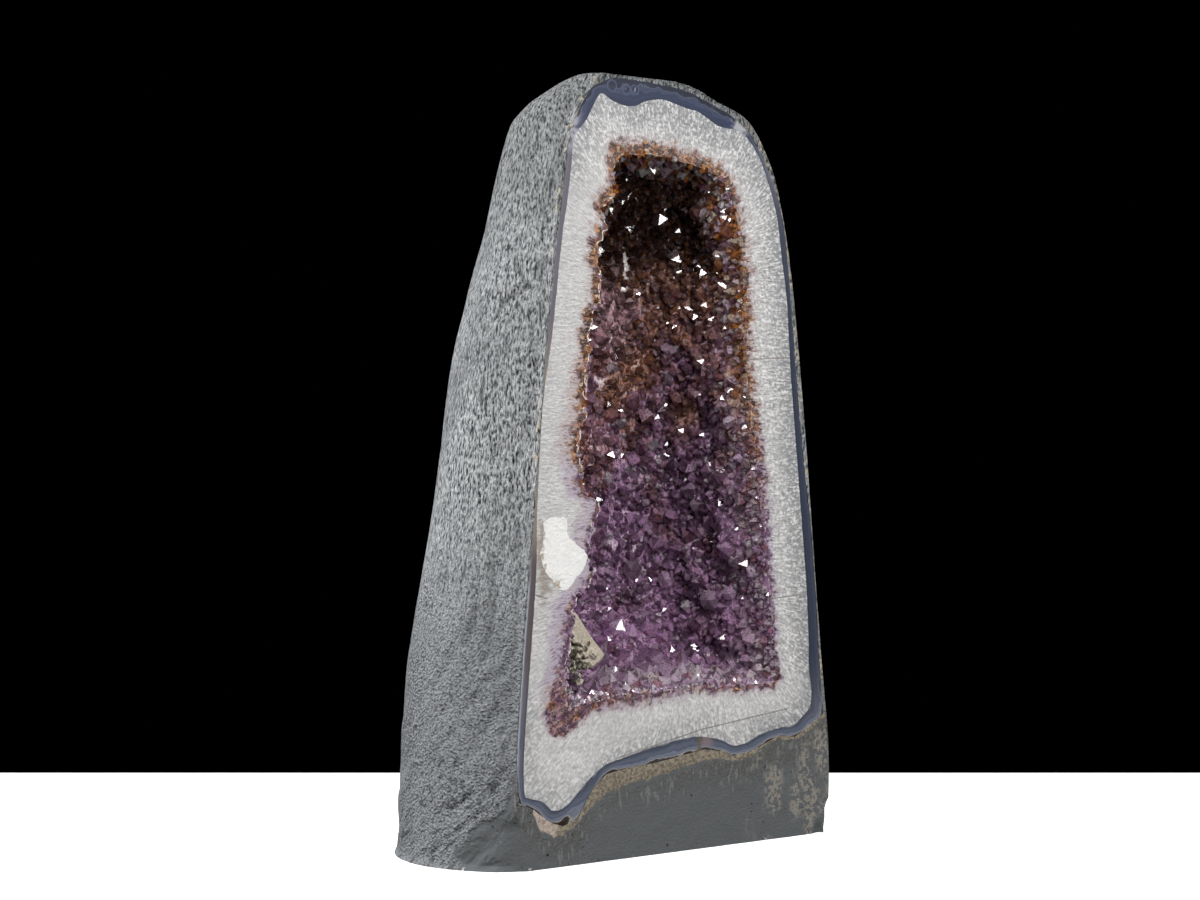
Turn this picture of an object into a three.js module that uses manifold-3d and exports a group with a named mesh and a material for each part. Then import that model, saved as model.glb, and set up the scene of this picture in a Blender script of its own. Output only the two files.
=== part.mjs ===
// Cut amethyst geode standing in a cement coat with a flat foot.
// Millimetres, +Z up. The cut face looks towards -Y and the foot rests on z = 0.
import * as THREE from 'three';
import { mergeVertices } from 'three/addons/utils/BufferGeometryUtils.js';
import Module from 'manifold-3d';

const wasm = await Module();
wasm.setup();
const { Manifold, Mesh: SolidMesh } = wasm;

// ---- Driving dimensions ----
const HEIGHT = 432; // foot to crown
const FACE_Y = -78.5; // plane of the sawn face; the depth is centred on y = 0
const GAP = 0.3; // clearance between neighbouring pieces
const BEYOND = 400; // larger than the whole object

// Level sections of the coated outside: an ellipse cut off flat by the sawn face.
// z, left and right end of the face, and the ellipse's centre x, centre setback
// behind the face, and half depth.
const SECTIONS = [
  { z: 0, left: -107, right: 106, centre: 35, setback: 59, halfDepth: 98 },
  { z: 50, left: -108.3, right: 106, centre: 33, setback: 57.5, halfDepth: 98 },
  { z: 110, left: -105, right: 100, centre: 31, setback: 55.5, halfDepth: 94 },
  { z: 200, left: -97, right: 92, centre: 25, setback: 50, halfDepth: 88 },
  { z: 280, left: -90, right: 84, centre: 18, setback: 46.2, halfDepth: 80 },
  { z: 340, left: -84, right: 76, centre: 8, setback: 38.4, halfDepth: 72 },
  { z: 382, left: -78, right: 66, centre: -2, setback: 34.7, halfDepth: 62 },
  { z: 405, left: -71, right: 54, centre: -8, setback: 31, halfDepth: 49 },
  { z: 416, left: -65, right: 43, centre: -12, setback: 27, halfDepth: 41 },
  { z: 424, left: -59, right: 21, centre: -18, setback: 21.5, halfDepth: 33 },
  { z: 429, left: -56, right: 8, centre: -25, setback: 16, halfDepth: 25 },
  { z: HEIGHT, left: -52, right: -10, centre: -31, setback: 11, halfDepth: 16 },
];

// Cement thickness round the geode
const COAT_AT_FACE = 2; // seen edge on along the sides of the face
const COAT_AT_BACK = 0.07; // as a share of the depth behind the face
const COAT_AT_CROWN = 5;
const COAT_CLEARANCE = 0.004; // the gap behind the face, as a share of the depth
const SAW_LEAD = 5; // how far the room for the stone is cut out before the face
const CROWN_CROWDING = 0.9; // below 1 the levels crowd less towards the crown

// Upper edge of the cement foot across the face, as x, z
const FOOT_TOP = [
  [-180, 37], [-107, 35], [-99.5, 34.3], [-91, 27.6], [-78, 21.3], [-68, 25.3],
  [-59.5, 39], [-50.5, 47], [-35, 49.4], [-16, 50.7], [15.5, 55.3], [30.5, 53],
  [36, 50.2], [49, 51.5], [69, 59], [81, 57.4], [94, 64.3], [102, 69], [180, 73],
];

// Mouth of the hollow in the sawn face, as x, z, going clockwise from the top left
const MOUTH = [
  [-48, 380], [-30, 389], [-8, 390], [20, 382], [36, 361], [43, 320], [48, 265],
  [56, 205], [64, 140], [68, 94], [34, 88], [-15, 88], [-52, 80], [-77, 76],
  [-74, 108], [-69, 143], [-60, 168], [-61, 200], [-66, 236], [-63, 275],
  [-59, 325], [-54, 350],
];
// The hollow narrows to a level-ended ridge deep in the stone
const RIDGE_LOW = { x: 4, z: 150, depth: 96 };
const RIDGE_HIGH = { x: -8, z: 320, depth: 78 };
const HOLLOW_END_TURN = 1.25; // radians of the wall's quarter turn, short of the ridge
const HOLLOW_FLARE = 0.62; // below 1 keeps the walls steep near the mouth

// Amethyst points that line the hollow
const POINT_ROWS = 4;
const POINTS_PER_ROW = 24;
const POINT_RADIUS = 8;
const POINT_SIDES = 6;
const POINT_TIP = 0.5; // share of a crystal's length taken by its pyramid
const TIP_WIDTH = 0.08; // of the crystal's own width
const FIRST_ROW_TURN = 0.2; // radians from the face to the outermost row
const LAST_ROW_TURN = 1.12;
const SIDE_SWAY = 0.3; // how far the points lean to either side
const SIZE_SWAY = 0.2; // how much their sizes differ
const ROOT_DEPTH = 6; // how far a crystal goes into the quartz

// Facet counts
const ARC_STEPS = 30;
const FACE_STEPS = 6;
const LEVELS = 19;
const HOLLOW_STEPS = 42;
const HOLLOW_RINGS = 7;

// ---- Small helpers ----
const lerp = THREE.MathUtils.lerp;

/** The closed solid of a three.js geometry. */
function solidOf(geometry) {
  const bare = geometry.index ? geometry.clone() : geometry;
  bare.deleteAttribute('normal');
  bare.deleteAttribute('uv');
  const merged = mergeVertices(bare, 1e-4);
  return new Manifold(new SolidMesh({
    numProp: 3,
    vertProperties: merged.attributes.position.array,
    triVerts: Uint32Array.from(merged.index.array),
  }));
}

/** The three.js geometry of a closed solid. */
function geometryOf(solid) {
  const { vertProperties, triVerts } = solid.getMesh();
  const geometry = new THREE.BufferGeometry();
  geometry.setAttribute('position', new THREE.BufferAttribute(vertProperties, 3));
  geometry.setIndex(new THREE.BufferAttribute(triVerts, 1));
  geometry.computeVertexNormals();
  return geometry;
}

/** The largest body of a solid, without the splinters that a cut left loose. */
function largestBody(solid) {
  return solid.decompose().sort((a, b) => b.volume() - a.volume())[0];
}

/** Moves each vertex of a unit cylinder to place(turn, rise, radius), each 0 to 1. */
function shapeCylinder(sides, levels, place) {
  const geometry = new THREE.CylinderGeometry(1, 1, 1, sides, levels);
  const position = geometry.attributes.position;
  for (let i = 0; i < position.count; i += 1) {
    const x = position.getX(i);
    const z = position.getZ(i);
    const steps = Math.round((Math.atan2(x, z) / (2 * Math.PI)) * sides);
    const turn = ((steps + sides) % sides) / sides;
    const rise = position.getY(i) + 0.5;
    const point = place(turn, rise, Math.hypot(x, z) > 0.5 ? 1 : 0);
    position.setXYZ(i, point.x, point.y, point.z);
  }
  return geometry;
}

/** A section value at height z, on a smooth curve through the stated sections. */
function sectionValue(key, z) {
  const last = SECTIONS.length - 1;
  const found = SECTIONS.findIndex((section) => section.z > z);
  const i = found < 0 ? last - 1 : Math.max(found - 1, 0);
  const rate = (a, b) => (SECTIONS[b][key] - SECTIONS[a][key]) / (SECTIONS[b].z - SECTIONS[a].z);
  const height = SECTIONS[i + 1].z - SECTIONS[i].z;
  const startRate = rate(Math.max(i - 1, 0), i + 1) * height;
  const endRate = rate(i, Math.min(i + 2, last)) * height;
  const t = THREE.MathUtils.clamp((z - SECTIONS[i].z) / height, 0, 1);
  const start = SECTIONS[i][key];
  const end = SECTIONS[i + 1][key];
  return (2 * t ** 3 - 3 * t ** 2 + 1) * start + (t ** 3 - 2 * t ** 2 + t) * startRate
    + (3 * t ** 2 - 2 * t ** 3) * end + (t ** 3 - t ** 2) * endRate;
}

/**
 * The rounded outside, set in by `inset` at the face edges and in proportion behind
 * it, lowered by `drop` at the crown. Its flat face lies `front` before the sawn face.
 */
function roundedBody(inset, share, drop, front) {
  const sides = ARC_STEPS + FACE_STEPS;
  return solidOf(shapeCylinder(sides, LEVELS, (turn, rise, radius) => {
    const eased = Math.sin((rise * Math.PI) / 2) ** CROWN_CROWDING;
    const z = HEIGHT * eased;
    const left = sectionValue('left', z);
    const right = sectionValue('right', z);
    const centre = sectionValue('centre', z);
    const setback = sectionValue('setback', z);
    const halfDepth = sectionValue('halfDepth', z);
    const cosCut = Math.sqrt(1 - (setback / halfDepth) ** 2);
    const cut = Math.asin(setback / halfDepth);
    const step = turn * sides;
    let x;
    let behind;
    if (step <= ARC_STEPS) {
      const angle = lerp(-cut, Math.PI + cut, step / ARC_STEPS);
      const reach = Math.cos(angle) > 0 ? right - centre : centre - left;
      x = centre + (reach / cosCut) * Math.cos(angle);
      behind = setback + halfDepth * Math.sin(angle);
    } else {
      x = lerp(left, right, (step - ARC_STEPS) / FACE_STEPS);
      behind = 0;
    }
    const narrow = 1 - (2 * inset) / (right - left);
    const middle = (left + right) / 2;
    const depth = Math.max(behind, 0) * (1 - share);
    if (radius === 0) {
      return new THREE.Vector3(middle, FACE_Y + halfDepth / 2, z * (1 - drop / HEIGHT));
    }
    const y = depth < 1e-6 ? FACE_Y - front : FACE_Y + depth;
    return new THREE.Vector3(middle + (x - middle) * narrow, y, z * (1 - drop / HEIGHT));
  }));
}

/** Everything below the foot's wavy upper edge, raised by `lift`. */
function footBlock(lift) {
  const reach = BEYOND;
  const outline = new THREE.Shape();
  outline.moveTo(FOOT_TOP[0][0], -reach);
  FOOT_TOP.forEach(([x, z]) => outline.lineTo(x, z + lift));
  outline.lineTo(FOOT_TOP.at(-1)[0], -reach);
  outline.closePath();
  const block = new THREE.ExtrudeGeometry(outline, { depth: 2 * reach, bevelEnabled: false });
  block.rotateX(Math.PI / 2);
  block.translate(0, reach, 0);
  return solidOf(block);
}

// ---- The hollow ----
const mouthCurve = new THREE.CatmullRomCurve3(
  MOUTH.map(([x, z]) => new THREE.Vector3(x, 0, z)), true, 'centripetal');

/** A point of the hollow's wall: `turn` goes round the mouth, `angle` goes inwards. */
function hollowPoint(turn, angle) {
  const rim = mouthCurve.getPointAt(turn % 1);
  const up = THREE.MathUtils.clamp((rim.z - RIDGE_LOW.z) / (RIDGE_HIGH.z - RIDGE_LOW.z), 0, 1);
  const ridgeX = lerp(RIDGE_LOW.x, RIDGE_HIGH.x, up);
  const ridgeZ = lerp(RIDGE_LOW.z, RIDGE_HIGH.z, up);
  const depth = lerp(RIDGE_LOW.depth, RIDGE_HIGH.depth, up);
  const spread = Math.cos(angle) ** HOLLOW_FLARE;
  return new THREE.Vector3(
    ridgeX + (rim.x - ridgeX) * spread,
    FACE_Y + depth * Math.sin(angle),
    ridgeZ + (rim.z - ridgeZ) * spread,
  );
}

/** The empty space that is cut out of the stone. */
function hollow() {
  const mouthLead = 8;
  return solidOf(shapeCylinder(HOLLOW_STEPS, HOLLOW_RINGS + 1, (turn, rise, radius) => {
    const ring = Math.round(rise * (HOLLOW_RINGS + 1));
    const angle = (Math.max(ring - 1, 0) / HOLLOW_RINGS) * HOLLOW_END_TURN;
    const point = hollowPoint(turn, angle);
    if (radius === 0) {
      point.x = (RIDGE_LOW.x + RIDGE_HIGH.x) / 2;
      point.y = FACE_Y + ((RIDGE_LOW.depth + RIDGE_HIGH.depth) / 2) * Math.sin(angle);
      point.z = (RIDGE_LOW.z + RIDGE_HIGH.z) / 2;
    }
    if (ring === 0) {
      point.y = FACE_Y - mouthLead;
    }
    return point;
  }));
}

/** One six-sided crystal with a pyramid tip, along +Y from its root at the origin. */
function crystal(radius, length) {
  const shaft = length * (1 - POINT_TIP);
  return shapeCylinder(POINT_SIDES, 2, (turn, rise, outer) => {
    const along = [0, shaft, length][Math.round(rise * 2)];
    const wide = rise > 0.9 ? TIP_WIDTH : 1;
    const angle = turn * 2 * Math.PI;
    return new THREE.Vector3(
      Math.sin(angle) * radius * wide * outer, along, Math.cos(angle) * radius * wide * outer);
  });
}

/** The amethyst points, standing out of the hollow's wall in staggered rows. */
function amethystPoints() {
  const outwards = new THREE.Vector3(0, 1, 0);
  const points = [];
  for (let row = 0; row < POINT_ROWS; row += 1) {
    const angle = lerp(FIRST_ROW_TURN, LAST_ROW_TURN, row / (POINT_ROWS - 1));
    for (let i = 0; i < POINTS_PER_ROW; i += 1) {
      const turn = (i + 0.5 * (row % 2)) / POINTS_PER_ROW;
      const wall = hollowPoint(turn, angle);
      const along = hollowPoint(turn + 0.004, angle).sub(wall);
      const inwards = hollowPoint(turn, angle + 0.02).sub(wall);
      const normal = new THREE.Vector3().crossVectors(along, inwards).normalize();
      const sway = Math.sin(i * 2.4 + row * 1.7);
      const direction = normal.clone().addScaledVector(along.normalize(), SIDE_SWAY * sway).normalize();
      const radius = POINT_RADIUS * (1 + SIZE_SWAY * Math.sin(i * 4.1 + row * 2.3));
      const geometry = crystal(radius, ROOT_DEPTH + radius * 1.5);
      const turned = new THREE.Quaternion().setFromUnitVectors(outwards, direction);
      geometry.applyQuaternion(turned);
      const root = wall.addScaledVector(direction, -ROOT_DEPTH);
      geometry.translate(root.x, root.y, root.z);
      points.push(solidOf(geometry));
    }
  }
  return Manifold.union(points);
}

// ---- Calcite ----
const PATCH = { x: -77, z: 168, halfWidth: 14, halfHeight: 20, depth: 15 };
const BLADE = { x: -61.5, behind: 8, z: 121.5, radius: 5.5, length: 32, flat: 0.55, lean: -0.8 };

/** The chalky mass in the left wall, grown by `swell` and cut off flat by the face. */
function calcitePatch(swell) {
  const lump = new THREE.IcosahedronGeometry(1, 2);
  const position = lump.attributes.position;
  const point = new THREE.Vector3();
  for (let i = 0; i < position.count; i += 1) {
    point.fromBufferAttribute(position, i);
    const wave = 1 + 0.16 * Math.sin(3 * point.x + 1) * Math.cos(4 * point.z + 2 * point.x);
    position.setXYZ(
      i,
      PATCH.x + point.x * (PATCH.halfWidth * wave + swell),
      FACE_Y + point.y * (PATCH.depth * wave + swell),
      PATCH.z + point.z * (PATCH.halfHeight * wave + swell),
    );
  }
  return solidOf(lump);
}

/** The beige crystal at the lower left of the hollow, grown by `swell`. */
function calciteBlade(swell) {
  const radius = BLADE.radius + swell;
  const length = BLADE.length + 2 * swell;
  const blade = shapeCylinder(POINT_SIDES, 3, (turn, rise, outer) => {
    const level = Math.round(rise * 3);
    const along = [-0.5, -0.25, 0.25, 0.5][level] * length;
    const wide = (level === 0 || level === 3 ? 0.35 : 1) * radius * outer;
    const angle = turn * 2 * Math.PI;
    return new THREE.Vector3(
      Math.cos(angle) * wide, Math.sin(angle) * wide * BLADE.flat, along);
  });
  blade.rotateY(BLADE.lean);
  blade.translate(BLADE.x, FACE_Y + BLADE.behind, BLADE.z);
  return solidOf(blade);
}

// ---- Pieces ----
const stoneBlank = roundedBody(COAT_AT_FACE, COAT_AT_BACK, COAT_AT_CROWN, 0)
  .subtract(footBlock(GAP));
const stoneRoom = roundedBody(
  COAT_AT_FACE - GAP, COAT_AT_BACK - COAT_CLEARANCE, COAT_AT_CROWN - GAP, SAW_LEAD)
  .subtract(footBlock(0));
const stone = largestBody(stoneBlank
  .subtract(hollow())
  .add(amethystPoints())
  .subtract(calcitePatch(GAP))
  .subtract(calciteBlade(GAP)));
const behindFace = solidOf(new THREE.BoxGeometry(BEYOND, BEYOND, BEYOND)
  .translate(0, FACE_Y + BEYOND / 2, BEYOND / 2));

const PIECES = [
  {
    name: 'cement_coat',
    solid: roundedBody(0, 0, 0, 0).subtract(stoneRoom),
    look: { color: '#8d918f', roughness: 0.85 },
  },
  { name: 'geode', solid: stone, look: { color: '#8b7396', roughness: 0.35 } },
  {
    name: 'calcite_patch',
    solid: calcitePatch(0).intersect(behindFace),
    look: { color: '#e6ded2', roughness: 0.8 },
  },
  {
    name: 'calcite_crystal',
    solid: calciteBlade(0),
    look: { color: '#d8c39c', roughness: 0.45 },
  },
];

const geodeObject = new THREE.Group();
for (const { name, solid, look } of PIECES) {
  const material = new THREE.MeshStandardMaterial({ ...look, metalness: 0 });
  const mesh = new THREE.Mesh(geometryOf(solid), material);
  mesh.name = name;
  geodeObject.add(mesh);
}

// The origin is under the middle of the whole object's box.
const box = new THREE.Box3().setFromObject(geodeObject);
geodeObject.position.x = -(box.min.x + box.max.x) / 2;
geodeObject.position.y = -(box.min.y + box.max.y) / 2;

export default geodeObject;
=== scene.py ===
"""Looks of a cut amethyst geode that stands in a brushed cement coat.

The stone is worked out in millimetres, with x from the middle of the sawn face, and
is moved into the frame and turned into metres when a mesh is made.
"""
import itertools
import logging
import math
from dataclasses import dataclass, field
from enum import Enum

import bpy
import numpy as np
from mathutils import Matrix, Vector


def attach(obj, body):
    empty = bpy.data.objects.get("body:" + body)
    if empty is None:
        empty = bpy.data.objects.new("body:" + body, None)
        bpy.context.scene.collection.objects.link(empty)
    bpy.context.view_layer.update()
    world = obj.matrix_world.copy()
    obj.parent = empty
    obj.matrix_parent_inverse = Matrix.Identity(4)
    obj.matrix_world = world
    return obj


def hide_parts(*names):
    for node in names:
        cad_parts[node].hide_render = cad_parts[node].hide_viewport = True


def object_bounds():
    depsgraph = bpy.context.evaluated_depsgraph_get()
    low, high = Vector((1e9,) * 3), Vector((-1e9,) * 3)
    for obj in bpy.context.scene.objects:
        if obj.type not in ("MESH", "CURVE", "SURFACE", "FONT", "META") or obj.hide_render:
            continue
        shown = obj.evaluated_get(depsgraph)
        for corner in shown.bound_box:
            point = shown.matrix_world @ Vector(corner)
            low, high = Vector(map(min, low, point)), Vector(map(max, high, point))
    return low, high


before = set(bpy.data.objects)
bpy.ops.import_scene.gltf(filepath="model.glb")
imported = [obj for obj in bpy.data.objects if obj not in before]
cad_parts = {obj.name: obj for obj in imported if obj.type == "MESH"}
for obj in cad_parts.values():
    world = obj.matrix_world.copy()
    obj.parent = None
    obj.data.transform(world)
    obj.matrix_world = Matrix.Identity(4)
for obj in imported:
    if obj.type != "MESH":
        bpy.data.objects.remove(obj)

log = logging.getLogger("geode")
CAD_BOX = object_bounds()
MM = 0.001
Array = np.ndarray
Thing = bpy.types.Object
Material = bpy.types.Material
Colour = tuple[float, float, float]
Place = tuple[float, float, float]
Stop = tuple[float, Colour]
Outline = tuple[tuple[float, float], ...]


class Slot(Enum):
    """Material slots of the record."""

    CEMENT = "cement"
    QUARTZ = "quartz"
    AGATE = "agate"
    AMETHYST = "amethyst"
    SKIN = "natural_skin"
    CALCITE_WHITE = "calcite_white"
    CALCITE_BEIGE = "calcite_beige"


# ---- Driving dimensions, in millimetres, the same as the solids' ----
HEIGHT = 432.0
SECTIONS = np.array([
    # z, left end, right end, centre x, setback of the centre, half depth
    (0, -107, 106, 35, 59, 98),
    (50, -108.3, 106, 33, 57.5, 98),
    (110, -105, 100, 31, 55.5, 94),
    (200, -97, 92, 25, 50, 88),
    (280, -90, 84, 18, 46.2, 80),
    (340, -84, 76, 8, 38.4, 72),
    (382, -78, 66, -2, 34.7, 62),
    (405, -71, 54, -8, 31, 49),
    (416, -65, 43, -12, 27, 41),
    (424, -59, 21, -18, 21.5, 33),
    (429, -56, 8, -25, 16, 25),
    (HEIGHT, -52, -10, -31, 11, 16),
])
LEFT, RIGHT, CENTRE, SETBACK, HALF_DEPTH = range(1, 6)

# Outlines in the sawn face, as x, z, going clockwise from the lower left
RIND_OUTER = (
    (-105.2, 38), (-106.7, 52), (-106.2, 71), (-103.2, 113), (-99.3, 156), (-95.4, 198),
    (-91.7, 241), (-88.5, 279), (-85, 310), (-82, 338), (-78.5, 360), (-76, 380),
    (-73.5, 396), (-69, 410), (-61, 421), (-47, 428.5), (-28, 429), (-1, 427), (16, 422.5),
    (33, 416), (46, 408), (55, 397), (64, 381), (70.5, 364), (73.5, 350), (76.5, 324),
    (79.5, 295), (82.5, 262), (87, 222), (92, 186), (96, 148), (98.5, 113), (100.5, 84),
    (102, 69), (94, 64.3), (81, 57.4), (69, 59), (49, 51.5), (36, 50.2), (30.5, 53),
    (15.5, 55.3), (-16, 50.7), (-35, 49.4), (-50.5, 47), (-59.5, 39), (-68, 25.3),
    (-78, 21.3), (-86, 24), (-91, 27.6), (-99.5, 34.3),
)
RIND_INNER = (
    (-102.3, 41.6), (-102.8, 58), (-101.4, 80), (-98.6, 113), (-95.2, 156), (-94.6, 180),
    (-94.2, 198), (-90.8, 250), (-84.6, 290), (-79, 338), (-75.3, 360), (-72.7, 380),
    (-70.5, 395), (-63, 405), (-57, 416), (-53, 420), (-46, 416.5), (-38, 414.6),
    (-31, 415.2), (-23, 418.6), (-12, 420.2), (3, 417), (12, 415.5), (26, 409), (38, 407.6),
    (47, 403), (55, 393), (61, 380), (67.5, 361), (71.5, 335), (75, 312), (77.7, 272),
    (81.5, 231), (86, 184), (89.3, 149), (91.2, 114), (91.3, 98), (93.3, 83), (91.8, 74.6),
    (84.8, 68), (78.9, 64.6), (70, 64), (57.3, 61.6), (44.8, 57.1), (36.2, 56.3),
    (26.7, 60.5), (9, 63.5), (-16.7, 60.5), (-39, 55.6), (-52, 52.2), (-64.5, 43.2),
    (-75, 33.3), (-84, 30.9), (-91, 36.2), (-99.3, 38.9),
)
MOUTH = (
    (-71.5, 87.5), (-76.5, 98), (-74.5, 111), (-72, 133), (-69, 145), (-60, 154),
    (-61, 173), (-56, 195), (-64, 203), (-68, 220), (-66, 236), (-63, 252), (-62, 279),
    (-60, 296), (-57, 305), (-53.5, 315), (-55.5, 324), (-55, 337), (-50.5, 346),
    (-53, 357), (-44.5, 365), (-46, 378), (-41, 386), (-31, 388.5), (-20, 389),
    (-6, 388), (5, 386), (17, 383.5), (27, 379.5), (33.5, 371.5), (37.5, 361),
    (40.5, 350), (42.5, 338), (44, 322), (44.5, 306), (44.5, 290), (45, 274), (47, 256),
    (51.5, 225), (55.5, 196), (59.5, 167), (63, 138), (66, 115), (68, 94), (55, 90.5),
    (34, 91), (12, 91.5), (-15, 91), (-40, 90.5), (-60, 88.5),
)
FOOT_TOP = ((-107, 36), *reversed(RIND_OUTER[-17:]), (106, 70))  # from left to right
# The hollow narrows to a ridge deep in the stone: x, z and depth of its two ends
RIDGE_LOW = (4.0, 150.0, 98.0)
RIDGE_HIGH = (-8.0, 320.0, 80.0)
HOLLOW_FLARE = 0.62


def base_reach() -> tuple[float, float]:
    """How far the lowest section reaches to the left and the right.

    Returns:
        x of its two ends, behind the face, where it is widest.
    """
    _, left, right, centre, setback, half = SECTIONS[0]
    cut = math.sqrt(1 - (setback / half) ** 2)
    return centre - (centre - left) / cut, centre + (right - centre) / cut


SHIFT_X = -sum(base_reach()) / 2
BOX_LOW = np.array(CAD_BOX[0]) / MM
BOX_HIGH = np.array(CAD_BOX[1]) / MM
FACE_Y = float(BOX_LOW[1])
STONE_FACE = FACE_Y + 0.4  # the polished face lies just inside the cement's edge
PROUD_FACE = FACE_Y + 0.15  # sawn crystals and calcite stand a little proud of it
BACK_HUB = np.array((0.0, 200.0))  # x, z round which the hidden backs close
BACK_STEP = 6.0  # straight part of a hidden back, before it curves
BACK_BULGE = 0.75
RIGHTWARD, BACKWARD = np.array((1, 0, 0)), np.array((0, 1, 0))
GRAIN_RADIUS = 190.0  # of the ring on which grain is laid out round the face


def face_spot(x: float, z: float) -> Place:
    """A place on the stone's face, in metres in the frame."""
    return (x + SHIFT_X) * MM, STONE_FACE * MM, z * MM


def smoothstep(low: float, high: float, value: Array) -> Array:
    """Eases each value from 0 at low to 1 at high, which may lie below low."""
    t = np.clip((value - low) / (high - low), 0.0, 1.0)
    return t * t * (3 - 2 * t)


class Noise:
    """Smooth gradient noise that gives the same values each run."""

    def __init__(self, seed: int) -> None:
        """Draws the lattice's directions.

        Args:
            seed: picks the pattern.
        """
        rng = np.random.default_rng(seed)
        order = rng.permutation(256)
        self.order = np.concatenate([order, order])
        directions = rng.normal(size=(256, 3))
        self.directions = directions / np.linalg.norm(directions, axis=1, keepdims=True)

    def at(self, points: Array) -> Array:
        """Noise at each point.

        Args:
            points: places, in lattice cells, with x, y, z on the last axis.

        Returns:
            Values from about -1 to 1.
        """
        cell = np.floor(points).astype(int)
        inside = points - cell
        fade = inside ** 3 * (inside * (inside * 6 - 15) + 10)
        total = np.zeros(points.shape[:-1])
        for corner in itertools.product((0, 1), repeat=3):
            near = (cell + corner) & 255
            key = self.order[self.order[self.order[near[..., 0]] + near[..., 1]] + near[..., 2]]
            weight = np.prod(np.where(corner, fade, 1 - fade), axis=-1)
            total += weight * np.sum((inside - corner) * self.directions[key], axis=-1)
        return total * 1.7

    def layered(self, points: Array, layers: int) -> Array:
        """Sum of ever finer noise.

        Args:
            points: places in cells of the coarsest layer.
            layers: how many layers, each twice as fine and half as strong.

        Returns:
            Values from about -1 to 1.
        """
        total = np.zeros(points.shape[:-1])
        for layer in range(layers):
            total += self.at(points * 2 ** layer + 17.3 * layer) / 2 ** layer
        return total


def section(key: int, z: Array) -> Array:
    """A section's value at height z, on a smooth curve through the stated sections.

    Args:
        key: column of SECTIONS.
        z: heights in millimetres.

    Returns:
        The value at each height.
    """
    heights, values = SECTIONS[:, 0], SECTIONS[:, key]
    last = len(heights) - 1
    i = np.clip(np.searchsorted(heights, z, side="right") - 1, 0, last - 1)
    before, after = np.maximum(i - 1, 0), np.minimum(i + 2, last)
    span = heights[i + 1] - heights[i]
    start = (values[i + 1] - values[before]) / (heights[i + 1] - heights[before]) * span
    end = (values[after] - values[i]) / (heights[after] - heights[i]) * span
    t = np.clip((z - heights[i]) / span, 0, 1)
    return ((2 * t ** 3 - 3 * t ** 2 + 1) * values[i] + (t ** 3 - 2 * t ** 2 + t) * start
            + (3 * t ** 2 - 2 * t ** 3) * values[i + 1] + (t ** 3 - t ** 2) * end)


def closed_curve(points: Outline, steps: int = 24) -> Array:
    """A smooth closed curve through the points.

    Args:
        points: x, z pairs in order round the curve.
        steps: samples between two neighbouring points.

    Returns:
        The samples, as rows of x, z.
    """
    p = np.array(points, float)
    t = (np.arange(steps) / steps)[None, :, None]
    a, b, c, d = (np.roll(p, k, axis=0)[:, None, :] for k in (1, 0, -1, -2))
    curve = 0.5 * (2 * b + (c - a) * t + (2 * a - 5 * b + 4 * c - d) * t ** 2
                   + (3 * b - a - 3 * c + d) * t ** 3)
    return curve.reshape(-1, 2)


def even_spacing(curve: Array, count: int) -> Array:
    """Points at equal distances round a closed curve.

    Args:
        curve: samples of the curve, as rows of x, z.
        count: how many points to give.

    Returns:
        The evenly spaced points.
    """
    ring = np.vstack([curve, curve[:1]])
    run = np.concatenate([[0], np.cumsum(np.linalg.norm(np.diff(ring, axis=0), axis=1))])
    wanted = np.arange(count) / count * run[-1]
    return np.stack([np.interp(wanted, run, ring[:, k]) for k in (0, 1)], axis=1)


def ray_hits(origins: Array, targets: Array, curve: Array, nearest_to_one: bool) -> Array:
    """Where rays from origins through targets cross a closed curve.

    Args:
        origins: start of each ray.
        targets: a second point of each ray, at a share of 1 along it.
        curve: the curve's samples.
        nearest_to_one: take the crossing nearest the target, or else the farthest one
            that lies before the target.

    Returns:
        The crossing on each ray.
    """
    a, b = curve, np.roll(curve, -1, axis=0)
    ray = (targets - origins)[:, None, :]
    edge = (b - a)[None, :, :]
    gap = a[None, :, :] - origins[:, None, :]
    cross = ray[..., 0] * edge[..., 1] - ray[..., 1] * edge[..., 0]
    cross = np.where(np.abs(cross) < 1e-9, 1e-9, cross)
    along = (gap[..., 0] * edge[..., 1] - gap[..., 1] * edge[..., 0]) / cross
    across = (gap[..., 0] * ray[..., 1] - gap[..., 1] * ray[..., 0]) / cross
    valid = (across >= -1e-6) & (across <= 1 + 1e-6) & (along > 0)
    if nearest_to_one:
        chosen = np.argmin(np.where(valid, np.abs(along - 1), 99), axis=1)
    else:
        chosen = np.argmax(np.where(valid & (along < 1), along, -1), axis=1)
    share = along[np.arange(len(origins)), chosen][:, None]
    return origins + (targets - origins) * share


def spine(z: Array) -> tuple[Array, Array]:
    """The ridge's point level with height z, or its nearer end.

    Args:
        z: heights in the face.

    Returns:
        The x, z points and the ridge's depth there.
    """
    up = np.clip((z - RIDGE_LOW[1]) / (RIDGE_HIGH[1] - RIDGE_LOW[1]), 0, 1)
    x, height, depth = (lo + (hi - lo) * up for lo, hi in zip(RIDGE_LOW, RIDGE_HIGH))
    return np.stack([x, height], axis=-1), depth


# ---- Meshes from arrays ----
LAYER_KINDS = {1: ("FLOAT", "value"), 3: ("FLOAT_VECTOR", "vector"), 4: ("FLOAT_COLOR", "color")}


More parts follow.
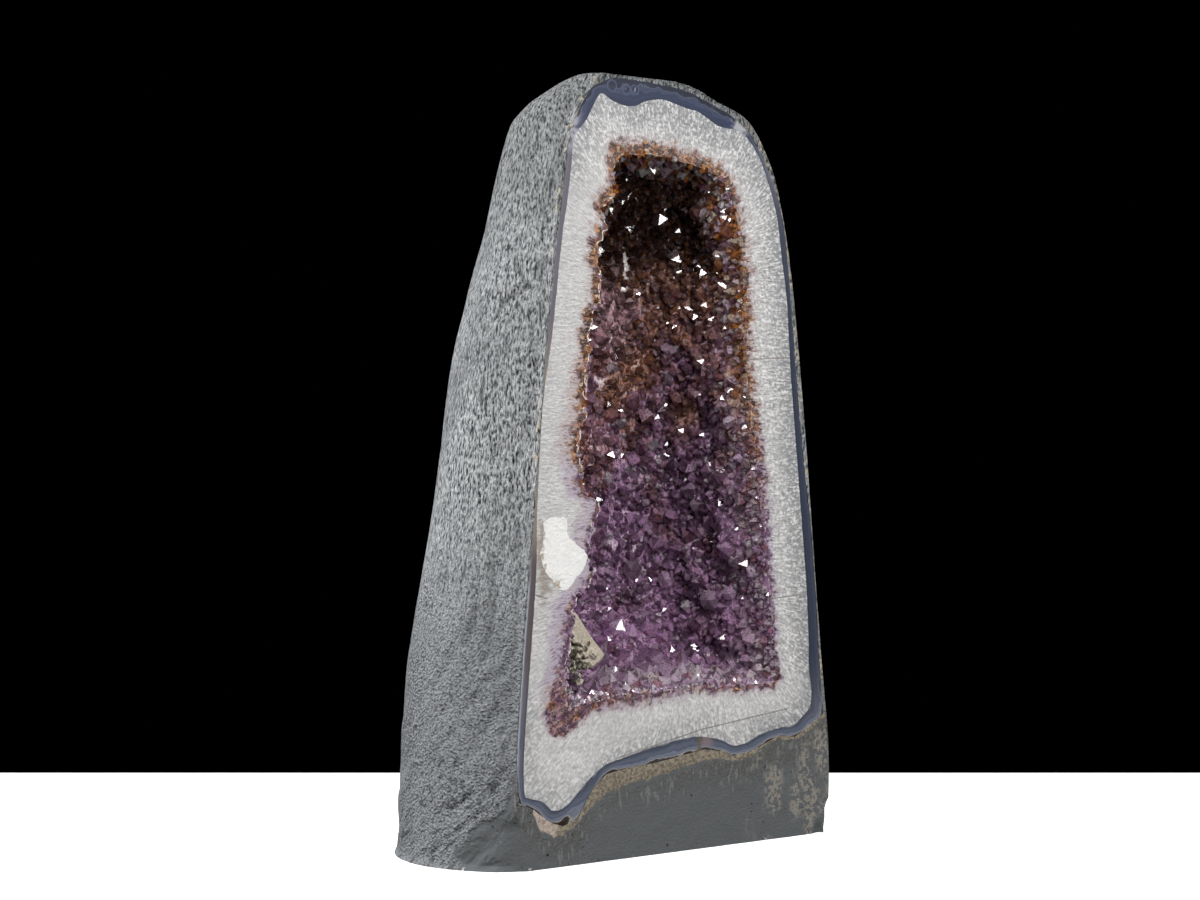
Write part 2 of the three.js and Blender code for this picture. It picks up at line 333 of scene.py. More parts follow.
@dataclass
class Shell:
    """Vertices, faces and vertex values of one piece, in face millimetres."""

    points: list[Array] = field(default_factory=list)
    quads: list[Array] = field(default_factory=list)
    triangles: list[Array] = field(default_factory=list)
    values: dict[str, list[Array]] = field(default_factory=dict)
    count: int = 0

    def add(self, points: Array, **values: Array) -> Array:
        """Adds vertices.

        Args:
            points: x, y, z places, of any leading shape.
            values: floats, colours or vectors for the same vertices.

        Returns:
            The vertices' numbers, in the points' leading shape.
        """
        shape = points.shape[:-1]
        size = int(np.prod(shape))
        self.points.append(points.reshape(-1, 3))
        for name, value in values.items():
            wide = value.shape[len(shape):]
            self.values.setdefault(name, []).append(value.reshape((size,) + wide))
        numbers = np.arange(self.count, self.count + size).reshape(shape)
        self.count += size
        return numbers

    def bands(self, rows: Array, closed: bool) -> None:
        """Joins neighbouring rows of vertices with quads.

        Args:
            rows: vertex numbers, one row after another.
            closed: whether each row's end joins its start.
        """
        grid = np.hstack([rows, rows[:, :1]]) if closed else rows
        corners = (grid[:-1, :-1], grid[:-1, 1:], grid[1:, 1:], grid[1:, :-1])
        self.quads.append(np.stack(corners, axis=-1).reshape(-1, 4))

    def fan(self, ring: Array, hub: int) -> None:
        """Closes a ring of vertices with triangles round a hub."""
        spread = np.full(len(ring), hub)
        self.triangles.append(np.stack([ring, np.roll(ring, -1), spread], axis=-1))

    def blank(self, *shape: int) -> dict[str, Array]:
        """Zeros for each vertex value in use, for vertices that don't show."""
        return {name: np.zeros(shape + blocks[0].shape[1:])
                for name, blocks in self.values.items()}

    def cap(self, ring: Array, place: Place, **values: Array) -> None:
        """Closes a ring with a fan round a new vertex, whose values are 0 if they aren't given."""
        hub = self.add(np.array([place], float), **(self.blank(1) | values))
        self.fan(ring, int(hub[0]))

    def piece(self, name: str, slot: Slot, *nodes: str) -> Thing:
        """Makes the mesh object, in metres in the frame.

        Args:
            name: the piece's name.
            slot: the record's slot for its finish, read here only to number the amethyst's facets.
            nodes: solids that it stands for.

        Returns:
            The new object.
        """
        places = np.concatenate(self.points) + (SHIFT_X, 0, 0)
        places = np.clip(places, BOX_LOW, BOX_HIGH) * MM
        faces = [face for block in self.quads for face in block.tolist()]
        faces += [face for block in self.triangles for face in block.tolist()]
        mesh = bpy.data.meshes.new(name)
        mesh.from_pydata(places.tolist(), [], faces)
        for label, blocks in self.values.items():
            data = np.concatenate(blocks)
            kind, key = LAYER_KINDS[1 if data.ndim == 1 else data.shape[1]]
            layer = mesh.attributes.new(label, kind, "POINT")
            layer.data.foreach_set(key, data.astype(np.float32).ravel())
        # Random numbers for the faces, which the crystal finish turns into painted facet shade and
        # painted glints
        if slot is Slot.AMETHYST:
            facets = np.random.default_rng(len(faces)).random(len(faces))
            layer = mesh.attributes.new("facet", "FLOAT", "FACE")
            layer.data.foreach_set("value", facets.astype(np.float32))
        mesh.validate()
        outward_faces(mesh)
        thing = bpy.data.objects.new(name, mesh)
        bpy.context.scene.collection.objects.link(thing)
        enlist(thing, slot, *nodes)
        return thing


def outward_faces(mesh: bpy.types.Mesh) -> None:
    """Turns a closed mesh right side out if its volume comes out negative.

    Args:
        mesh: the mesh.
    """
    mesh.calc_loop_triangles()
    corners = np.empty(len(mesh.loop_triangles) * 3, np.int32)
    mesh.loop_triangles.foreach_get("vertices", corners)
    places = np.empty(len(mesh.vertices) * 3, np.float32)
    mesh.vertices.foreach_get("co", places)
    a, b, c = places.reshape(-1, 3)[corners.reshape(-1, 3)].transpose(1, 0, 2)
    if np.sum(a * np.cross(b, c)) < 0:
        mesh.flip_normals()


def enlist(thing: Thing, slot: Slot, *nodes: str) -> None:
    """Makes a piece ride on the stone's body.

    Args:
        thing: the piece.
        slot: the record's slot for its finish; not used.
        nodes: solids that it stands for.
    """
    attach(thing, "root")
    if nodes:
        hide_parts(*nodes)
    log.info("%s: %d faces", thing.name, len(thing.data.polygons))


# ---- Finishes ----
Socket = bpy.types.NodeSocket
Source = Socket | float | Colour


class Recipe:
    """The node tree of one finish, put together step by step."""

    # Numbers of the Mix node's sockets when it mixes colours
    SHARE, FIRST, SECOND, MIXED = 0, 6, 7, 2

    def __init__(self, name: str) -> None:
        """Starts a material with a plain Principled shader.

        Args:
            name: the material's name.
        """
        self.material = bpy.data.materials.new(name)
        self.material.use_nodes = True
        self.nodes = self.material.node_tree.nodes
        self.shader = self.nodes["Principled BSDF"]

    def feed(self, socket: Socket, source: Source) -> None:
        """Links a source to a socket, or sets the socket's own value.

        Args:
            socket: the input.
            source: another socket, a number or a colour.
        """
        if isinstance(source, bpy.types.NodeSocket):
            self.material.node_tree.links.new(source, socket)
        elif isinstance(source, tuple) and socket.type == "RGBA":
            socket.default_value = (*source[:3], 1.0)
        else:
            socket.default_value = source

    def set(self, **values: Source) -> None:
        """Sets the shader's inputs, named in snake case."""
        for name, value in values.items():
            self.feed(self.shader.inputs[name.replace("_", " ").title().replace("Ior", "IOR")],
                      value)

    def node(self, kind: str, sources: dict[str | int, Source], output: str | int = 0,
             **settings: str) -> Socket:
        """Adds a node.

        Args:
            kind: its type, without the word that all shader nodes begin with.
            sources: what feeds its inputs, by their names or numbers.
            output: which output is wanted.
            settings: its other settings.

        Returns:
            The output.
        """
        node = self.nodes.new("ShaderNode" + kind)
        for name, value in settings.items():
            setattr(node, name, value)
        for name, source in sources.items():
            self.feed(node.inputs[name], source)
        return node.outputs[output]

    def attribute(self, name: str, output: str = "Fac") -> Socket:
        """One output of a vertex value."""
        return self.node("Attribute", {}, output, attribute_name=name)

    def object_place(self) -> Socket:
        """The place on the object, in metres."""
        return self.node("TexCoord", {}, "Object")

    def stretched(self, vector: Socket, scale: Place) -> Socket:
        """The vector with its axes scaled."""
        return self.node("Mapping", {"Vector": vector, "Scale": scale}, "Vector")

    def noise(self, vector: Socket, scale: float, detail: float = 2.0,
              roughness: float = 0.5) -> Socket:
        """Cloud noise from 0 to 1, with so many cells for each unit of the vector."""
        return self.node("TexNoise", {"Vector": vector, "Scale": scale, "Detail": detail,
                                      "Roughness": roughness}, "Fac")

    def cells(self, vector: Socket, scale: float) -> tuple[Socket, Socket]:
        """Scattered cells: the distance to the cell's edge and a random colour for each cell."""
        sources = {"Vector": vector, "Scale": scale}
        return (self.node("TexVoronoi", sources, "Distance", feature="DISTANCE_TO_EDGE"),
                self.node("TexVoronoi", sources, "Color", feature="F1"))

    def vectors(self, way: str, first: Source, second: Source, output: str) -> Socket:
        """Reckons with two vectors."""
        return self.node("VectorMath", {0: first, 1: second}, output, operation=way)

    def distance(self, first: Source, second: Source) -> Socket:
        """Distance between two places."""
        return self.vectors("DISTANCE", first, second, "Value")

    def line_distance(self, place: Socket, start: Place, end: Place) -> Socket:
        """Distance to a straight stretch.

        Args:
            place: where it is measured from.
            start: one end of the stretch.
            end: its other end.

        Returns:
            The distance.
        """
        way = tuple(b - a for a, b in zip(start, end))
        square = sum(step * step for step in way)
        beside = self.vectors("SUBTRACT", place, start, "Vector")
        along = self.vectors("DOT_PRODUCT", beside, tuple(step / square for step in way), "Value")
        share = self.node("Clamp", {"Value": along})
        nearest = self.node("VectorMath", {0: way, "Scale": share}, operation="SCALE")
        return self.distance(beside, nearest)

    def ramp(self, value: Socket, *stops: Stop) -> Socket:
        """Turns a value into a colour.

        Args:
            value: the value.
            stops: values and their colours, with even blends between them.

        Returns:
            The colour.
        """
        node = self.nodes.new("ShaderNodeValToRGB")
        self.feed(node.inputs["Fac"], value)
        elements = node.color_ramp.elements
        while len(elements) < len(stops):
            elements.new(1.0)
        for element, (place, colour) in zip(elements, stops):
            element.position = place
            element.color = (*colour, 1.0)
        return node.outputs["Color"]

    def blend(self, share: Source, first: Source, second: Source,
              way: str = "MIX") -> Socket:
        """Mixes two colours, the second by its share."""
        sources = {self.SHARE: share, self.FIRST: first, self.SECOND: second}
        return self.node("Mix", sources, self.MIXED, data_type="RGBA", blend_type=way)

    def calc(self, way: str, first: Source, second: Source) -> Socket:
        """Reckons with two numbers."""
        return self.node("Math", {0: first, 1: second}, operation=way)

    def times(self, first: Source, second: Source) -> Socket:
        """The product of two numbers."""
        return self.calc("MULTIPLY", first, second)

    def plus(self, first: Source, second: Source) -> Socket:
        """The sum of two numbers."""
        return self.calc("ADD", first, second)

    def minus(self, first: Source, second: Source) -> Socket:
        """The first number less the second."""
        return self.calc("SUBTRACT", first, second)

    def swing(self, noise: Socket, reach: float) -> Socket:
        """Noise moved to lie about 0 and scaled."""
        return self.times(self.minus(noise, 0.5), reach)

    def mix(self, share: Source, first: Source, second: Source) -> Socket:
        """Mixes two numbers, the second by its share."""
        kept = self.times(first, self.minus(1.0, share))
        return self.plus(kept, self.times(second, share))

    def step(self, value: Socket, low: float, high: float, top: float = 1.0) -> Socket:
        """Eases from 0 at low to `top` at high, which may lie below low."""
        return self.node("MapRange", {"Value": value, "From Min": low, "From Max": high,
                                      "To Max": top}, interpolation_type="SMOOTHSTEP")

    def bump(self, height: Socket, distance: float, under: Socket | None = None) -> Socket:
        """The normal of relief, which may lie on coarser relief."""
        over = {} if under is None else {"Normal": under}
        return self.node("Bump", {"Height": height, "Distance": distance} | over)


@dataclass(frozen=True)
class CementFinish:
    """Grey cement with brush marks, painted smooth on the foot, with painted shade in its pits and
    crevices and a painted highlight on its ridges.
    """

    # Colours by relief, from ridge down to pit: the lighter ridges are a painted highlight, shade
    # is painted shade in crevices and pits
    ridge: Colour = (0.50, 0.515, 0.527)
    light: Colour = (0.315, 0.326, 0.334)
    grey: Colour = (0.15, 0.157, 0.164)
    shade: Colour = (0.022, 0.024, 0.027)
    calm: Colour = (0.138, 0.145, 0.155)
    paint: Colour = (0.102, 0.108, 0.113)
    worn_paint: Colour = (0.132, 0.140, 0.145)
    earth: Colour = (0.088, 0.080, 0.066)
    stroke: Colour = (0.20, 0.205, 0.205)
    # Multiplies in painted shade at the top and beside the face
    dusk: Colour = (0.55, 0.56, 0.54)
    lime: Colour = (0.50, 0.44, 0.35)
    chip: Colour = (0.68, 0.66, 0.61)
    brush_depth: float = 0.0056
    grain_depth: float = 0.00006

    def material(self) -> Material:
        """Builds the finish.

        Returns:
            The material.
        """
        r = Recipe("brushed_cement")
        place = r.object_place()
        height, painted = r.attribute("height"), r.attribute("painted")
        grains = r.noise(place, 1100, 2, 0.7)
        lower = r.step(height, 215.0, 95.0)
        relief = self.relief(r, lower)
        body = r.blend(painted, self.brushed(r, relief, lower), self.foot_paint(r, grains))
        # Painted shade at the top and beside the face
        body = r.blend(r.attribute("dusk"), body, self.dusk, "MULTIPLY")
        crumbly = r.step(r.noise(place, 380, 2, 0.6), 0.46, 0.54)
        body = r.blend(r.times(r.attribute("lime"), crumbly), body, self.lime)
        chips = r.times(r.step(height, 2.2, 0.3),
                        r.step(r.noise(place, 120, 2, 0.6), 0.64, 0.67))
        rough = r.times(r.step(painted, 1.0, 0.0), r.minus(1.0, r.times(lower, 0.45)))
        deep = r.times(relief, r.plus(r.times(rough, 0.9), 0.1))
        r.set(base_color=r.blend(chips, body, self.chip), roughness=0.86,
              specular_ior_level=0.3,
              normal=r.bump(grains, self.grain_depth, r.bump(deep, self.brush_depth)))
        return r.material

    def relief(self, r: Recipe, lower: Socket) -> Socket:
        """Brush marks, or round dots where the coat is pitted.

        Args:
            r: the finish in hand.
            lower: share of the calmer cement low down.

        Returns:
            The relief, from 0 to 1.
        """
        brush = r.attribute("brush", "Vector")
        marks = r.noise(r.stretched(brush, (0.72, 0.72, 0.24)), 1.0, 1)
        dashes = r.noise(r.stretched(brush, (1.15, 1.15, 0.42)), 1.0, 1)
        brushed = r.plus(r.times(marks, 0.55), r.times(dashes, 0.45))
        pitted = r.calc("MAXIMUM", r.attribute("pitted"), r.times(lower, 0.6))
        return r.mix(pitted, brushed, r.noise(r.object_place(), 700, 1))

    def brushed(self, r: Recipe, relief: Socket, lower: Socket) -> Socket:
        """Colour of the bare cement, with painted shade in its crevices and pits and a painted
        highlight on its ridges.

        Args:
            r: the finish in hand.
            relief: its relief, from 0 to 1.
            lower: share of the calmer cement low down.

        Returns:
            The colour.
        """
        clouds = r.noise(r.object_place(), 20, 3, 0.55)
        # Painted shade in low relief, painted highlight on high relief
        body = r.ramp(relief, (0.35, self.shade), (0.43, self.grey), (0.50, self.light),
                      (0.63, self.ridge))
        body = r.blend(r.step(clouds, 0.42, 0.66, 0.35), body, self.grey)
        body = r.blend(r.times(lower, 0.62), body, self.calm)
        # Painted shade in the pits
        return r.blend(r.step(r.attribute("pit"), 0.25, 1.0, 0.6), body, self.shade)

    def foot_paint(self, r: Recipe, grains: Socket) -> Socket:
        """Colour of the foot's paint, streaked and earthy just under the stone.

        Args:
            r: the finish in hand.
            grains: fine noise.

        Returns:
            The colour.
        """
        place = r.object_place()
        under = r.attribute("under")
        dots = r.step(r.noise(place, 700, 1), 0.40, 0.56, 0.8)
        strokes = r.noise(r.stretched(place, (1.0, 1.0, 0.22)), 620, 1)
        strokes = r.times(r.step(under, 0.0, 0.35), r.step(strokes, 0.58, 0.68, 0.6))
        body = r.blend(r.step(grains, 0.35, 0.75, 0.5), self.paint, self.worn_paint)
        body = r.blend(r.times(under, dots), body, self.earth)
        body = r.blend(strokes, body, self.stroke)
        # Painted shade in small pits of the paint
        return r.blend(r.step(r.noise(place, 330, 1), 0.735, 0.755), body, self.shade)


@dataclass(frozen=True)
class AgateFinish:
    """Slate blue chalcedony in fine bands, with small eyes under a thin brown skin."""

    skin: Colour = (0.030, 0.022, 0.016)
    under_skin: Colour = (0.05, 0.037, 0.028)
    pale: Colour = (0.185, 0.205, 0.27)
    slate: Colour = (0.090, 0.102, 0.145)
    eye: Colour = (0.052, 0.038, 0.045)
    eye_ring: Colour = (0.27, 0.29, 0.36)
    eye_slit: Colour = (0.75, 0.72, 0.68)
    # Multiplies in painted shade along the band's top and down its right
    shade: Colour = (0.50, 0.55, 0.72)
    eyes: tuple[Place, ...] = (
        # x, z and radius
        (-46.5, 424.8, 3.2), (-36.8, 423.8, 2.6), (-31.4, 424.0, 2.6),
    )

    def material(self) -> Material:
        """Builds the finish.

        Returns:
            The material.
        """
        r = Recipe("banded_agate")
        grain = r.attribute("grain", "Vector")
        sway = r.noise(r.stretched(grain, (0.12, 0.12, 0.2)), 1.0, 2, 0.6)
        colour = r.ramp(
            r.plus(r.attribute("band"), r.swing(sway, 0.5)),
            (0.0, self.skin), (0.08, self.under_skin), (0.13, (0.34, 0.33, 0.32)),
            (0.20, (0.15, 0.165, 0.21)), (0.32, self.pale), (0.42, self.slate),
            (0.60, (0.125, 0.14, 0.185)), (0.82, (0.075, 0.086, 0.12)),
            (0.95, (0.066, 0.074, 0.10)), (1.0, (0.22, 0.23, 0.25)),
        )
        fine = r.noise(r.stretched(grain, (0.05, 0.05, 2.4)), 1.0, 2, 0.6)
        colour = r.blend(r.step(fine, 0.5, 0.75, 0.4), colour, self.pale)
        for x, z, radius in self.eyes:
            colour = self.with_eye(r, colour, sway, face_spot(x, z), radius)
        colour = r.blend(r.attribute("toned"), colour, r.attribute("tone", "Color"))
        # Painted shade along the top and down the right
        colour = r.blend(r.attribute("shade"), colour, self.shade, "MULTIPLY")
        r.set(base_color=colour, roughness=0.3, specular_ior_level=0.25,
              subsurface_weight=0.12, subsurface_radius=(1.0, 1.0, 1.1),
              subsurface_scale=0.0015)
        return r.material

    def with_eye(self, r: Recipe, colour: Socket, sway: Socket, centre: Place,
                 radius: float) -> Socket:
        """Adds a ringed eye with a few pale slits in it.

        Args:
            r: the finish in hand.
            colour: the agate round it.
            sway: noise that makes it uneven.
            centre: its middle, in metres.
            radius: its radius, in millimetres.

        Returns:
            The new colour.
        """
        place = r.object_place()
        away = r.plus(r.distance(place, centre), r.swing(sway, 0.003))
        ring = r.minus(r.step(away, (radius + 0.6) * MM, (radius - 0.2) * MM),
                       r.step(away, (radius - 0.3) * MM, (radius - 1.1) * MM))
        eye = r.step(away, radius * MM, (radius - 1.0) * MM, 0.8)
        colour = r.blend(eye, colour, self.eye)
        colour = r.blend(r.times(ring, 0.9), colour, self.eye_ring)
        streaks = r.noise(r.stretched(place, (2.2, 1, 0.3)), 420, 0)
        slits = r.times(r.step(away, 1.5 * MM, 0.9 * MM), r.step(streaks, 0.60, 0.66))
        return r.blend(slits, colour, self.eye_slit)


@dataclass(frozen=True)
class QuartzFinish:
    """Milky quartz with fibres across the wall, stained where the crystals begin."""

    dull: Colour = (0.47, 0.47, 0.475)
    milk: Colour = (0.66, 0.645, 0.635)
    grey: Colour = (0.27, 0.275, 0.285)
    lilac: Colour = (0.40, 0.31, 0.43)
    blush: Colour = (0.50, 0.38, 0.38)
    violet_spike: Colour = (0.17, 0.10, 0.17)
    rusty_spike: Colour = (0.21, 0.09, 0.07)
    # Pale lip on the left rim: whitish crystals, with a painted highlight where the edge catches
    # the light
    lip_and_glint: Colour = (0.86, 0.81, 0.77)
    seam: Colour = (0.66, 0.50, 0.40)
    gap: Colour = (0.30, 0.22, 0.22)
    blotch: Colour = (0.30, 0.25, 0.20)
    crack: Colour = (0.20, 0.17, 0.15)
    rusty: tuple[Stop, ...] = (
        (0.30, (0.030, 0.008, 0.003)), (0.50, (0.11, 0.030, 0.006)),
        (0.64, (0.25, 0.078, 0.010)), (0.80, (0.46, 0.19, 0.035)),
        (0.93, (0.68, 0.44, 0.25)),
    )
    violet: tuple[Stop, ...] = (
        (0.20, (0.055, 0.018, 0.045)), (0.45, (0.125, 0.055, 0.115)),
        (0.65, (0.22, 0.125, 0.22)), (0.88, (0.50, 0.40, 0.49)),
    )
    cracks: tuple[tuple[float, float, float, float], ...] = (
        # x and z of one end, then of the other
        (47, 277, 84, 279), (62, 139, 95, 141), (-97, 148, -88, 145),
        (-44, 55.5, 15, 67.4), (15, 67.4, 75, 74.6),
    )

    def material(self) -> Material:
        """Builds the finish.

        Returns:
            The material.
        """
        r = Recipe("milky_quartz")
        place = r.object_place()
        edge, stained = r.attribute("edge"), r.attribute("stain")
        grain = r.stretched(r.attribute("grain", "Vector"), (0.66, 0.66, 0.24))
        fibres = r.noise(grain, 1.0, 2, 0.6)
        crumbs = r.noise(place, 560, 2, 0.6)
        blobs = r.noise(place, 260, 3, 0.6)
        patches = r.noise(place, 70, 3, 0.6)
        sugar = r.plus(r.times(fibres, 0.5), r.times(crumbs, 0.5))
        body = self.wall(r, sugar, patches)
        feather = r.plus(r.swing(fibres, 9.0), r.swing(blobs, 13.0))
        inside = r.minus(r.attribute("fringe"), r.plus(edge, feather))
        haze = r.plus(inside, r.attribute("haze"))
        body = r.blend(r.step(haze, -5.0, 3.0, 0.62), body,
                       r.blend(stained, self.lilac, self.blush))
        spikes = r.times(r.step(haze, -6.0, 0.0, 0.7), r.step(fibres, 0.55, 0.66))
        body = r.blend(spikes, body, r.blend(stained, self.violet_spike, self.rusty_spike))
        body = r.blend(r.step(inside, -2.4, 2.4, 0.97), body,
                       self.sawn_crystals(r, crumbs, blobs))
        # Pale lip on the left rim: whitish crystals, partly a painted highlight where the edge
        # catches the light
        lip_and_glint = r.times(r.step(edge, 0.85, 0.35), r.step(crumbs, 0.40, 0.52))
        lip_and_glint = r.times(r.times(lip_and_glint, r.step(patches, 0.40, 0.50)), r.attribute("lip_and_glint"))
        body = r.blend(lip_and_glint, body, self.lip_and_glint)
        body = r.blend(r.attribute("blotch"), body, self.blotch)
        for x, z, end_x, end_z in self.cracks:
            gap = r.line_distance(place, face_spot(x, z), face_spot(end_x, end_z))
            body = r.blend(r.step(gap, 0.6 * MM, 0.2 * MM, 0.7), body, self.crack)
        r.set(base_color=body, roughness=0.34, specular_ior_level=0.5,
              subsurface_weight=0.12, subsurface_radius=(1.0, 0.95, 1.0),
              subsurface_scale=0.0015, normal=r.bump(sugar, 0.0008))
        return r.material

    def wall(self, r: Recipe, sugar: Socket, patches: Socket) -> Socket:
        """Colour of the sugary quartz, greyer near the agate.

        Args:
            r: the finish in hand.
            sugar: its fibres and crumbs.
            patches: coarse noise.

        Returns:
            The colour.
        """
        body = r.ramp(sugar, (0.37, (0.29, 0.29, 0.295)), (0.45, (0.50, 0.49, 0.485)),
                      (0.53, self.milk), (0.60, (0.92, 0.91, 0.90)))
        body = r.blend(r.times(r.attribute("soft"), 0.85), body, self.milk)
        body = r.blend(r.step(patches, 0.42, 0.68, 0.3), body, self.dull)
        dusk = r.plus(r.step(sugar, 0.62, 0.42, 0.75), 0.22)
        return r.blend(r.times(r.attribute("grey_zone"), dusk), body, self.grey)

    def sawn_crystals(self, r: Recipe, crumbs: Socket, blobs: Socket) -> Socket:
        """Colour of the crystals that the saw went through, rusty or violet.

        Args:
            r: the finish in hand.
            crumbs: fine noise.
            blobs: coarser noise.

        Returns:
            The colour.
        """
        border, kind = r.cells(r.object_place(), 620)
        glow = r.blend(r.attribute("stain"), r.ramp(kind, *self.violet),
                       r.ramp(kind, *self.rusty))
        glow = r.blend(r.step(crumbs, 0.50, 0.40, 0.6), glow, self.gap, "MULTIPLY")
        seams = r.times(r.step(border, 0.09, 0.02, 0.6), r.step(blobs, 0.46, 0.60))
        return r.blend(seams, glow, self.seam)


@dataclass(frozen=True)
class CrystalFinish:
    """See-through crystal, tinted piece by piece, with rusty specks near the surface and painted
    shade and painted glints on random facets.
    """

    name: str
    transmission: float
    roughness: float
    absorption: Colour
    density: float
    specks: float = 1.0
    veil: float = 0.3
    painted_glint_share: float = 0.5
    refraction: float = 1.544
    milky: Colour = (0.66, 0.56, 0.64)
    painted_facet_shade: Colour = (0.10, 0.07, 0.09)
    painted_highlight: Colour = (0.86, 0.72, 0.84)
    gritty: Colour = (0.20, 0.13, 0.13)

    def material(self) -> Material:
        """Builds the finish.

        Returns:
            The material.
        """
        r = Recipe(self.name)
        place = r.object_place()
        facet = r.attribute("facet")
        specks = r.noise(place, 620, 3, 0.65)
        grit = r.noise(place, 830, 2, 0.6)
        veil = r.noise(place, 260, 3, 0.6)
        body = r.blend(r.step(veil, 0.45, 0.72, self.veil), r.attribute("tint", "Color"),
                       self.milky)
        # Painted shade and painted glints on random facets, for the light that each facet would
        # catch
        body = r.blend(r.step(facet, 0.58, 0.06, 0.72), body, self.painted_facet_shade, "MULTIPLY")
        body = r.blend(r.step(facet, 0.82, 0.98, self.painted_glint_share), body, self.painted_highlight)
        body = r.blend(r.step(grit, 0.46, 0.38, 0.7), body, self.gritty, "MULTIPLY")
        rusty = r.times(r.step(specks, 0.50, 0.60, self.specks), r.attribute("rust"))
        stain = r.ramp(r.noise(place, 300, 2, 0.6), (0.38, (0.07, 0.022, 0.008)),
                       (0.5, (0.24, 0.085, 0.02)), (0.62, (0.58, 0.25, 0.06)))
        r.set(base_color=r.blend(rusty, body, stain), roughness=self.roughness,
              ior=self.refraction, transmission_weight=self.transmission,
              specular_ior_level=0.5, normal=r.bump(specks, 0.00003))
        r.feed(r.nodes["Material Output"].inputs["Volume"], r.node(
            "VolumeAbsorption", {"Color": self.absorption, "Density": self.density}))
        return r.material


@dataclass(frozen=True)
class SkinFinish:
    """Sandy tan skin that fades into the foot's grey paint."""

    light: Colour = (0.30, 0.255, 0.19)
    dark: Colour = (0.13, 0.11, 0.085)
    pale_light: Colour = (0.50, 0.42, 0.36)
    pale_dark: Colour = (0.26, 0.20, 0.16)
    paint: Colour = (0.111, 0.118, 0.123)

    def material(self) -> Material:
        """Builds the finish.

        Returns:
            The material.
        """
        r = Recipe("natural_skin")
        place = r.object_place()
        fine = r.noise(place, 620, 3, 0.7)
        coarse = r.noise(place, 210, 3, 0.6)
        body = r.blend(r.step(fine, 0.38, 0.64), self.light, self.dark)
        pale = r.blend(r.step(fine, 0.42, 0.66), self.pale_light, self.pale_dark)
        body = r.blend(r.attribute("pale"), body, pale)
        ragged = r.plus(r.attribute("fade"), r.swing(coarse, 1.0))
        body = r.blend(r.step(ragged, 0.25, 0.75), body, self.paint)
        r.set(base_color=body, roughness=0.88, specular_ior_level=0.3,
              normal=r.bump(fine, 0.0006))
        return r.material


@dataclass(frozen=True)
class GrainyFinish:
    """Rough mineral in two colours, with stains."""

    name: str
    light: Colour
    dark: Colour
    stain: Colour
    stain_share: float
    roughness: float
    glow: float
    grain: float = 900.0

    def material(self) -> Material:
        """Builds the finish.

        Returns:
            The material.
        """
        r = Recipe(self.name)
        place = r.object_place()
        coarse = r.noise(place, self.grain * 0.3, 3, 0.6)
        fine = r.noise(place, self.grain, 3, 0.7)
        body = r.blend(r.step(fine, 0.38, 0.66), self.light, self.dark)
        stained = r.step(r.plus(coarse, r.attribute("stained")), 0.62, 0.8, self.stain_share)
        r.set(base_color=r.blend(stained, body, self.stain), roughness=self.roughness,
              subsurface_weight=self.glow, subsurface_radius=(1.0, 0.95, 0.85),
              subsurface_scale=0.002, normal=r.bump(fine, 0.0004, r.bump(coarse, 0.0006)))
        return r.material


# ---- Surfaces ----
def unit(vectors: Array) -> Array:
    """The vectors at length 1."""
    return vectors / np.maximum(np.linalg.norm(vectors, axis=-1, keepdims=True), 1e-9)


def grid_normals(grid: Array, closed: bool) -> Array:
    """Directions square to a grid of places.

    Args:
        grid: places, as rows by columns by x, y, z.
        closed: whether each row's end joins its start.

    Returns:
        Unit vectors, all on the same side.
    """
    if closed:
        along = np.roll(grid, -1, axis=1) - np.roll(grid, 1, axis=1)
    else:
        along = np.gradient(grid, axis=1)
    return unit(np.cross(along, np.gradient(grid, axis=0)))


def face_places(flat: Array, y: Array | float) -> Array:
    """Places from x, z pairs and a depth."""
    return np.stack([flat[..., 0], np.broadcast_to(y, flat.shape[:-1]), flat[..., 1]], axis=-1)


def facing_with(vectors: Array, guide: Array) -> Array:
    """The vectors, turned round where they point against the guide."""
    return vectors * np.sign(np.sum(vectors * guide, axis=-1, keepdims=True))


def face_axes(places: Array) -> Array:
    """Places as x, the distance behind the face and z, each on its own."""
    return np.moveaxis(places - (0, FACE_Y, 0), -1, 0)


def flat_noise(seed: int, flat: Array, size: float, layers: int = 1) -> Array:
    """Noise over x, z places, in lumps of about the given size."""
    return Noise(seed).layered(face_places(flat, 0.0) / size, layers)


def blended(share: Array, first: Array, second: Array) -> Array:
    """Mixes two arrays by a share for each row."""
    return first + (second - first) * share[..., None]


def opaque(colours: Array) -> Array:
    """The colours with an alpha of 1."""
    return np.concatenate([colours, np.ones(colours.shape[:-1] + (1,))], axis=-1)


def ring_grain(run: Array, across: Array) -> Array:
    """Vectors for grain laid out by the angle round the face and the distance across."""
    return np.stack([GRAIN_RADIUS * np.cos(run), GRAIN_RADIUS * np.sin(run), across], axis=-1)


def stretch_distance(flat: Array, start: tuple[float, float],
                     end: tuple[float, float]) -> Array:
    """Distance from flat places to a straight stretch.

    Args:
        flat: the places.
        start: one end of the stretch.
        end: its other end.

    Returns:
        The distances.
    """
    way, beside = np.subtract(end, start), flat - start
    share = np.clip(np.sum(beside * way, axis=-1) / np.sum(way ** 2), 0, 1)
    return np.linalg.norm(beside - share[..., None] * way, axis=-1)


def hidden_dome(loop: Array, fit: float, start: float, depth: float, steps: int) -> Array:
    """Rows of a dome that closes a piece behind the face.

    Args:
        loop: x, z places of its edge.
        fit: its width as a share of the edge's.
        start: y of the face it belongs to.
        depth: how deep it curves.
        steps: rows to the hub, which isn't one of them.

    Returns:
        Places, as rows by columns.
    """
    turn = (np.arange(1, steps) / steps * math.pi / 2)[:, None, None]
    flat = BACK_HUB + (loop - BACK_HUB) * fit * np.cos(turn) ** BACK_BULGE
    return face_places(flat, start + BACK_STEP + depth * np.sin(turn[..., 0]))


